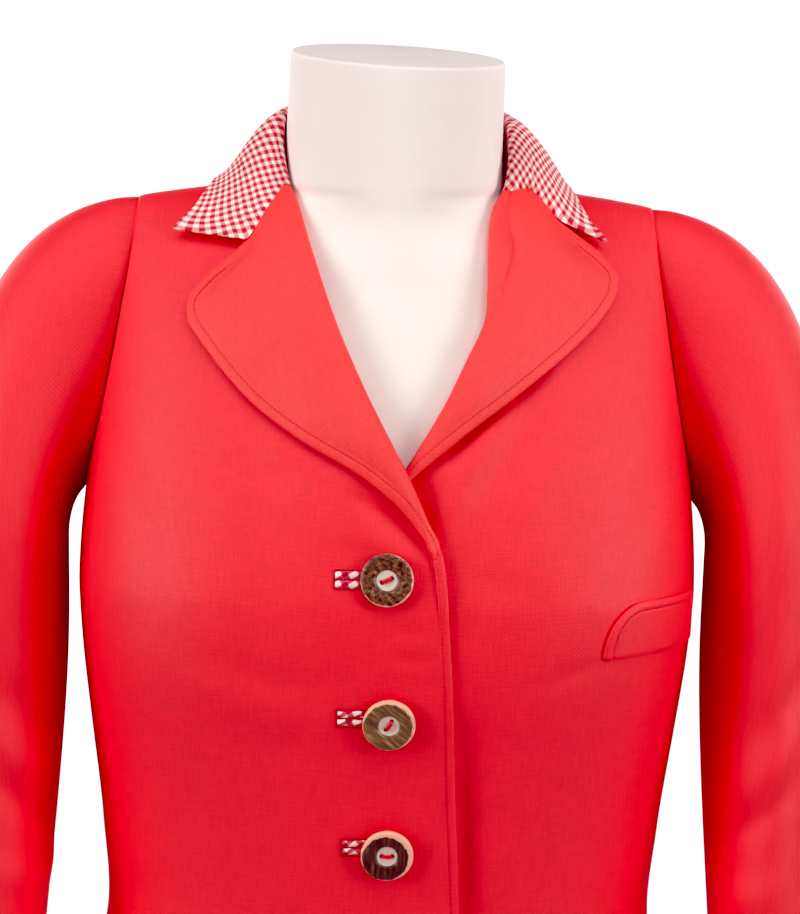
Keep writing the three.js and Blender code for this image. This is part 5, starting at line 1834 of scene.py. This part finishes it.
    def lips(self) -> Object:
        """Builds the two bias-cut lips of the bound buttonhole."""
        bm = bmesh.new()
        layer = bm.loops.layers.uv.new("cut")
        length = self.lip_end - self.place.lip_start
        wavy = self.number in (2, 3)  # sewn less evenly than the others
        for side in (-1, 1):
            verts = bmesh.ops.create_grid(bm, x_segments=40, y_segments=16, size=0.5)["verts"]
            for vertex in verts:
                along, across = vertex.co.x + 0.5, vertex.co.y + 0.5
                vertex.co = self._lip_point(side, along, across, length, wavy)
            bias = Matrix.Rotation(math.radians(self.place.bias), 2)
            for vertex in verts:
                for loop in vertex.link_loops:
                    spot = vertex.co
                    middle = side * (self.slit_half + self.lip_half / 2 - 0.2)
                    slant = self.lip_slant * (spot.y - middle)
                    loop[layer].uv = bias @ Vector((spot.x - slant, spot.y - middle)) * MM
        bmesh.ops.recalc_face_normals(bm, faces=bm.faces)
        for face in bm.faces:
            face.normal_update()
            if face.normal.z < 0:
                face.normal_flip()
        bmesh.ops.transform(bm, matrix=self.lip_seat(), verts=bm.verts)
        made = mesh_object(f"gingham_lips_{self.number}", bm, self.finishes.binding)
        wall = made.modifiers.new("wall", "SOLIDIFY")
        wall.thickness = self.lip_wall * MM
        wall.offset = -1.0
        return dress(made, "gingham", f"buttonhole_lips_{self.number}")

    def shaded_ditch(self) -> Object:
        """Builds a dark thread sunk in the seam round the lips and along the slit between them; its
        darkness is painted shade in the seam and the slit.
        """
        bm = bmesh.new()
        left, right, half = self.place.lip_start - 0.3, self.lip_end, self.lip_half
        corners = ((left, half), (left, half), (left, -half), (left, -half))  # doubled, to turn sharply
        round_lips = ((right, half), *corners, (right, -half))
        slit = ((left + 0.6, 0.0), ((left + right) / 2, 0.05), (right, 0.0))
        for path, height in ((round_lips, 0.15), (slit, -0.1)):
            add_tube(bm, tuple((x, y, height) for x, y in path), self.strand / 2)
        bmesh.ops.transform(bm, matrix=self.lip_seat(), verts=bm.verts)
        made = mesh_object(f"buttonhole_shaded_ditch_{self.number}", bm, self.finishes.shaded_ditch)
        return dress(made, "thread")

    def _lip_point(self, side: int, along: float, across: float, length: float, wavy: bool) -> tuple:
        """One point of a lip: a flattened roll of cloth beside the slit."""
        pinch = 0.82 + 0.18 * math.sin(math.pi * min(along * 3.2, 1) / 2)
        if wavy:
            pinch *= 0.86 + 0.1 * math.cos(along * 9 + side)
        width = (self.lip_half - 0.45) * pinch
        x = self.place.lip_start + length * along
        y = side * (self.slit_half + width * across)
        hump = math.sin(math.pi * min(max(across, 0.0), 1.0)) ** 0.6
        wave = 0.25 * math.sin(along * 14 + 2 * side) if wavy else 0.1 * math.sin(along * 9)
        return x, y + (wave if wavy else 0.0), -0.5 + 1.25 * hump + 0.12 * wave

    def build(self) -> None:
        """Builds the lips, the button and its thread."""
        lips = self.lips()
        self.shaded_ditch()
        self.button()
        self.thread()


def add_tube(bm: BMesh, path: tuple, radius: float) -> None:
    """Adds a round tube along a smooth path to a mesh.

    Args:
        bm: the mesh to add to.
        path: the points that the tube runs through.
        radius: the tube's radius.
    """
    data = bpy.data.curves.new("path", "CURVE")
    data.dimensions = "3D"
    data.bevel_depth = radius
    data.bevel_resolution = 3
    data.use_fill_caps = True
    data.resolution_u = 5
    spline = data.splines.new("NURBS")
    spline.points.add(len(path) - 1)
    for point, place in zip(spline.points, path):
        point.co = (*place, 1.0)
    spline.use_endpoint_u = True
    spline.order_u = 3
    holder = bpy.data.objects.new("path", data)
    bpy.context.scene.collection.objects.link(holder)
    bpy.context.view_layer.update()
    graph = bpy.context.evaluated_depsgraph_get()
    mesh = bpy.data.meshes.new_from_object(holder.evaluated_get(graph))
    bm.from_mesh(mesh)
    bpy.data.objects.remove(holder)
    bpy.data.curves.remove(data)
    bpy.data.meshes.remove(mesh)


# ---- Topstitching --------------------------------------------------------------------


@dataclass
class TopStitch:
    """A row of stitches sunk into a piece, along a line of the front."""

    name: str
    carrier: Object
    line: Array  # the row's points, near the cloth's surface
    finishes: Finishes
    length: float = 2.4
    pitch: float = 2.6
    radius: float = 0.24
    sunk: float = 0.06
    reach: float = 6.0  # the line's points are this close to the cloth

    def build(self) -> Object:
        """Builds the row as one piece of small capsules."""
        graph = bpy.context.evaluated_depsgraph_get()
        tree = BVHTree.FromObject(self.carrier, graph)
        run = run_lengths(self.line)
        bm = bmesh.new()
        for start in np.arange(0.4, run[-1] - self.length, self.pitch):
            ends = [self._on_cloth(tree, run, place) for place in (start, start + self.length)]
            if None in ends or (ends[0] - ends[1]).length > 2 * self.length * MM:
                continue
            self._stitch(bm, *ends)
        made = mesh_object(self.name, bm, self.finishes.stitching)
        return dress(made, "thread")

    def _on_cloth(self, tree: BVHTree, run: Array, place: float) -> Vector | None:
        """The outer surface of the cloth nearest one place of the row."""
        near = np.array([np.interp(place, run, self.line[:, axis]) for axis in range(3)])
        spot, normal, _, _ = tree.find_nearest(Vector((near + SHIFT) * MM), self.reach * MM)
        return None if spot is None else spot - normal * self.sunk * MM

    def _stitch(self, bm: BMesh, start: Vector, end: Vector) -> None:
        """Adds one stitch between two points."""
        along = end - start
        turn = along.to_track_quat("Z", "Y").to_matrix().to_4x4()
        size = Matrix.Diagonal((self.radius * MM, self.radius * MM, along.length / 2, 1))
        place = Matrix.Translation((start + end) / 2) @ turn @ size
        bmesh.ops.create_uvsphere(bm, u_segments=8, v_segments=6, radius=1.0, matrix=place)


def offset_line(points: Array, away: float) -> Array:
    """A line moved sideways in the front view, to the left of its run for away above 0."""
    run = unit(np.gradient(points, axis=0))
    return points + np.stack([-run[:, 1], run[:, 0]], axis=-1) * away


def sew(finishes: Finishes, right: Object, lapels: dict, welt: Object) -> None:
    """Adds the rows of topstitching along the lapels, the front's edge and the welt.

    Args:
        finishes: the jacket's materials.
        right: the right front.
        lapels: the lapels by side.
        welt: the breast welt.
    """
    z = np.linspace(HEM + 30, RIGHT_CUT.roll_foot - 3, 260)
    front = offset_line(np.stack([read_table(RIGHT_CUT.edge, "z", "x", z), z], axis=-1), 4.0)
    above = 3.0  # the cloth's outer surface, a little below the line
    line = SHELL.on_front(front[:, 0], front[:, 1], LAP + above)
    TopStitch("front_edge_stitches", right, line, finishes).build()
    for cut, away in ((RIGHT_CUT, -3.9), (LEFT_CUT, 3.9)):
        outline = offset_line(Outline(cut.lapel_edge).at(np.linspace(0.03, 0.93, 300)), away)
        lift = SHELL.lap(cut.side, outline[:, 0], outline[:, 1]) + Lapel.lift + CLOTH + above / 2
        line = SHELL.on_front(outline[:, 0], outline[:, 1], lift)
        TopStitch(f"lapel_{cut.side.label}_stitches", lapels[cut.side], line, finishes).build()
    plan = BreastWelt(finishes)
    x = mix(plan.front_x, plan.back_x, np.linspace(0.0, 0.97, 160) ** 1.6)
    rim = offset_line(np.stack([x, plan.low(x) + plan.top(x)], axis=-1), -plan.roll.stitch)[6:]
    line = SHELL.on_front(rim[:, 0], rim[:, 1], plan.lift + plan.thickness + above / 2)
    TopStitch("welt_stitches", welt, line, finishes).build()


# ---- Dress form ----------------------------------------------------------------------


@dataclass
class DressForm:
    """The smooth, limbless form that wears the jacket, cut flat at neck and foot."""

    finishes: Finishes
    columns: int = 160
    slope: tuple = (-0.034, 0.067)  # the neck is cut a little off level
    rise: float = -0.4
    neck_lean: float = -1.6  # to the wearer's right
    top_lean: float = 0.8  # and back again at the cut
    rim: float = 1.4

    def heights(self) -> Array:
        """Heights of the rings, closer at the shoulders."""
        top = FORM_SECTIONS[-1].z
        low = ((0.0, 9.0, 3), (9.0, 620, 70), (620, 730, 60))
        return spread((*low, (730, top - 9, 8), (top - 9, top, 3)))

    def build(self) -> Object:
        z, turn = np.meshgrid(self.heights(), np.linspace(0, 1, self.columns + 1), indexing="ij")
        angle = 2 * np.pi * turn
        square = read_table(FORM_SECTIONS, "z", "front_square", z)
        across, deep = squared_ring(angle, square)
        names = ("front", "back", "half")
        front, back, half = (read_table(FORM_SECTIONS, "z", name, z) for name in names)
        x = half * across
        y = -np.where(deep > 0, front, back) * deep
        top = FORM_SECTIONS[-1].z
        tilt = (self.slope[0] * x + self.slope[1] * y + self.rise) * ease(730, top, z)
        lean = self.neck_lean * ease(640, 700, z) + self.top_lean * ease(720, top, z)
        grid = stack(x + lean, y, z + tilt)
        bm = self._shape(grid)
        made = mesh_object("cover_of_dress_form", bm, self.finishes.form)
        return dress(made, "form_cover", "dress_form")

    def _shape(self, grid: Array) -> BMesh:
        """The closed body: a tube of rings, capped at both ends with a softened rim."""
        bm, _ = grid_mesh(grid)
        bmesh.ops.remove_doubles(bm, verts=bm.verts, dist=1e-6)
        rims = [edge for edge in bm.edges if edge.is_boundary]
        bmesh.ops.holes_fill(bm, edges=rims)
        bmesh.ops.recalc_face_normals(bm, faces=bm.faces)
        bmesh.ops.bevel(bm, geom=rims, offset=self.rim * MM, segments=3, affect="EDGES",
                        profile=0.5, material=-1)
        for face in bm.faces:
            face.smooth = len(face.verts) <= 4
        return bm


# ---- Studio --------------------------------------------------------------------------


class Softbox(NamedTuple):
    """A square softbox: its direction in degrees round and up from the chest, and its power."""

    name: str
    azimuth: float  # 0 in front
    elevation: float
    watts: float
    has_grid: bool  # a honeycomb grid keeps its light to the collar and chest


SOFTBOXES = table_of(
    Softbox,
    ("low_right", -60, 10, 4.1, True), ("high_right", -60, 40, 1.0, True),
    ("top_right", -30, 60, 1.2, True), ("low_left", 60, 10, 3.8, True),
    ("front_left", 30, 35, 1.1, True), ("top_left", 30, 60, 1.2, True),
    ("side_right", -110, 30, 3, False), ("side_left", 100, 30, 8, False),
    ("behind_right", -150, 15, 18, False), ("behind_left", 150, 15, 18, False),
)


def direction(azimuth: float, elevation: float) -> Vector:
    """The unit vector toward a place given in degrees round from the front and up."""
    around, up = math.radians(azimuth), math.radians(elevation)
    return Vector((math.sin(around) * math.cos(up), -math.cos(around) * math.cos(up), math.sin(up)))


@dataclass
class Studio:
    """A pale floor, soft light from every side, and the camera."""

    finishes: Finishes
    azimuth: float = -1.0
    elevation: float = 7.0
    roll: float = 1.5
    distance: float = 2500.0
    target: tuple = (5.8, 0.0, 546.0)
    lens: float = 204.9
    sensor: float = 36.0
    black: tuple = (0.0, 0.054, 0.031)  # scene light that a contrasty print shows as black
    floor_radius: float = 1.1  # in metres, as are the next four
    light_distance: float = 2.4
    softbox_size: float = 1.2
    chest: tuple = (0.0, 0.0, 0.52)
    collar_bone: tuple = (0.0, 0.0, 0.60)
    grid_spread: float = 52.0  # of a softbox with a honeycomb grid, in degrees

    def floor(self) -> None:
        """Lays the floor."""
        bm = bmesh.new()
        bmesh.ops.create_circle(bm, cap_ends=True, segments=96, radius=self.floor_radius)
        ground = mesh_object("studio_floor", bm, self.finishes.floor)

    def camera(self) -> None:
        """Sets the camera at the height and turn of a person facing the jacket."""
        back = direction(self.azimuth, self.elevation)
        target = Vector((np.array(self.target) + SHIFT) * MM)
        data = bpy.data.cameras.new("front_camera")
        data.lens = self.lens
        data.sensor_width = self.sensor
        data.sensor_fit = "HORIZONTAL"
        data.clip_end = 100.0
        camera = bpy.data.objects.new("front_camera", data)
        turn = (-back).to_track_quat("-Z", "Y").to_matrix().to_4x4()
        place = Matrix.Translation(target + back * self.distance * MM)
        camera.matrix_world = place @ turn @ Matrix.Rotation(math.radians(self.roll), 4, "Z")
        bpy.context.scene.collection.objects.link(camera)
        bpy.context.scene.camera = camera

    def softbox(self, box: Softbox) -> None:
        """Hangs one softbox."""
        data = bpy.data.lights.new(box.name, "AREA")
        data.size = self.softbox_size
        data.energy = box.watts
        if box.has_grid:
            data.spread = math.radians(self.grid_spread)
        light = bpy.data.objects.new(box.name, data)
        place = Vector(self.chest) + direction(box.azimuth, box.elevation) * self.light_distance
        aim = Vector(self.collar_bone if box.has_grid else self.chest) - place
        turn = aim.to_track_quat("-Z", "Y").to_matrix().to_4x4()
        light.matrix_world = Matrix.Translation(place) @ turn
        bpy.context.scene.collection.objects.link(light)

    def sky(self) -> None:
        """Surrounds the scene with plain white, dimmer as light than as backdrop."""
        world = bpy.data.worlds.new("white_surround")
        world.use_nodes = True
        tree = world.node_tree
        backdrop = tree.nodes["Background"]
        backdrop.inputs["Color"].default_value = (1, 1, 1, 1)
        seen = add_node(tree, "LightPath").outputs["Is Camera Ray"]
        strength = add_node(tree, "MapRange", {"Value": seen, "To Min": 0.015, "To Max": 1.06})
        tree.links.new(strength.outputs["Result"], backdrop.inputs["Strength"])
        bpy.context.scene.world = world

    def build(self) -> None:
        """Sets up everything that isn't part of the object."""
        self.floor()
        self.camera()
        self.sky()
        for box in SOFTBOXES:
            self.softbox(box)
        view = bpy.context.scene.view_settings
        view.view_transform = "Standard"
        view.use_curve_mapping = True
        view.curve_mapping.black_level = self.black
        view.curve_mapping.update()


# ---- The whole -----------------------------------------------------------------------


def main() -> None:
    """Builds the form, the jacket piece by piece, its fastenings and the studio."""
    logging.basicConfig(level=logging.INFO, format="%(name)s: %(message)s")
    finishes = Finishes()
    form = DressForm(finishes).build()
    right = FrontPanel(RIGHT_CUT, RIGHT_CREASES, finishes).build()
    left = FrontPanel(LEFT_CUT, LEFT_CREASES, finishes).build()
    back = BackPanel(finishes).build()
    lapels = {cut.side: Lapel(cut, finishes) for cut in (RIGHT_CUT, LEFT_CUT)}
    turned_back = {side: lapel.build() for side, lapel in lapels.items()}
    collar = Collar(lapels, finishes).build()
    sleeves = [Sleeve(side, finishes).build() for side in Side]
    welt = BreastWelt(finishes).build()
    sew(finishes, right, turned_back, welt)
    for number, place in enumerate(BUTTON_PLACES, 1):
        Fastening(number, place, finishes).build()
    Studio(finishes).build()


if __name__ == "__main__":
    main()
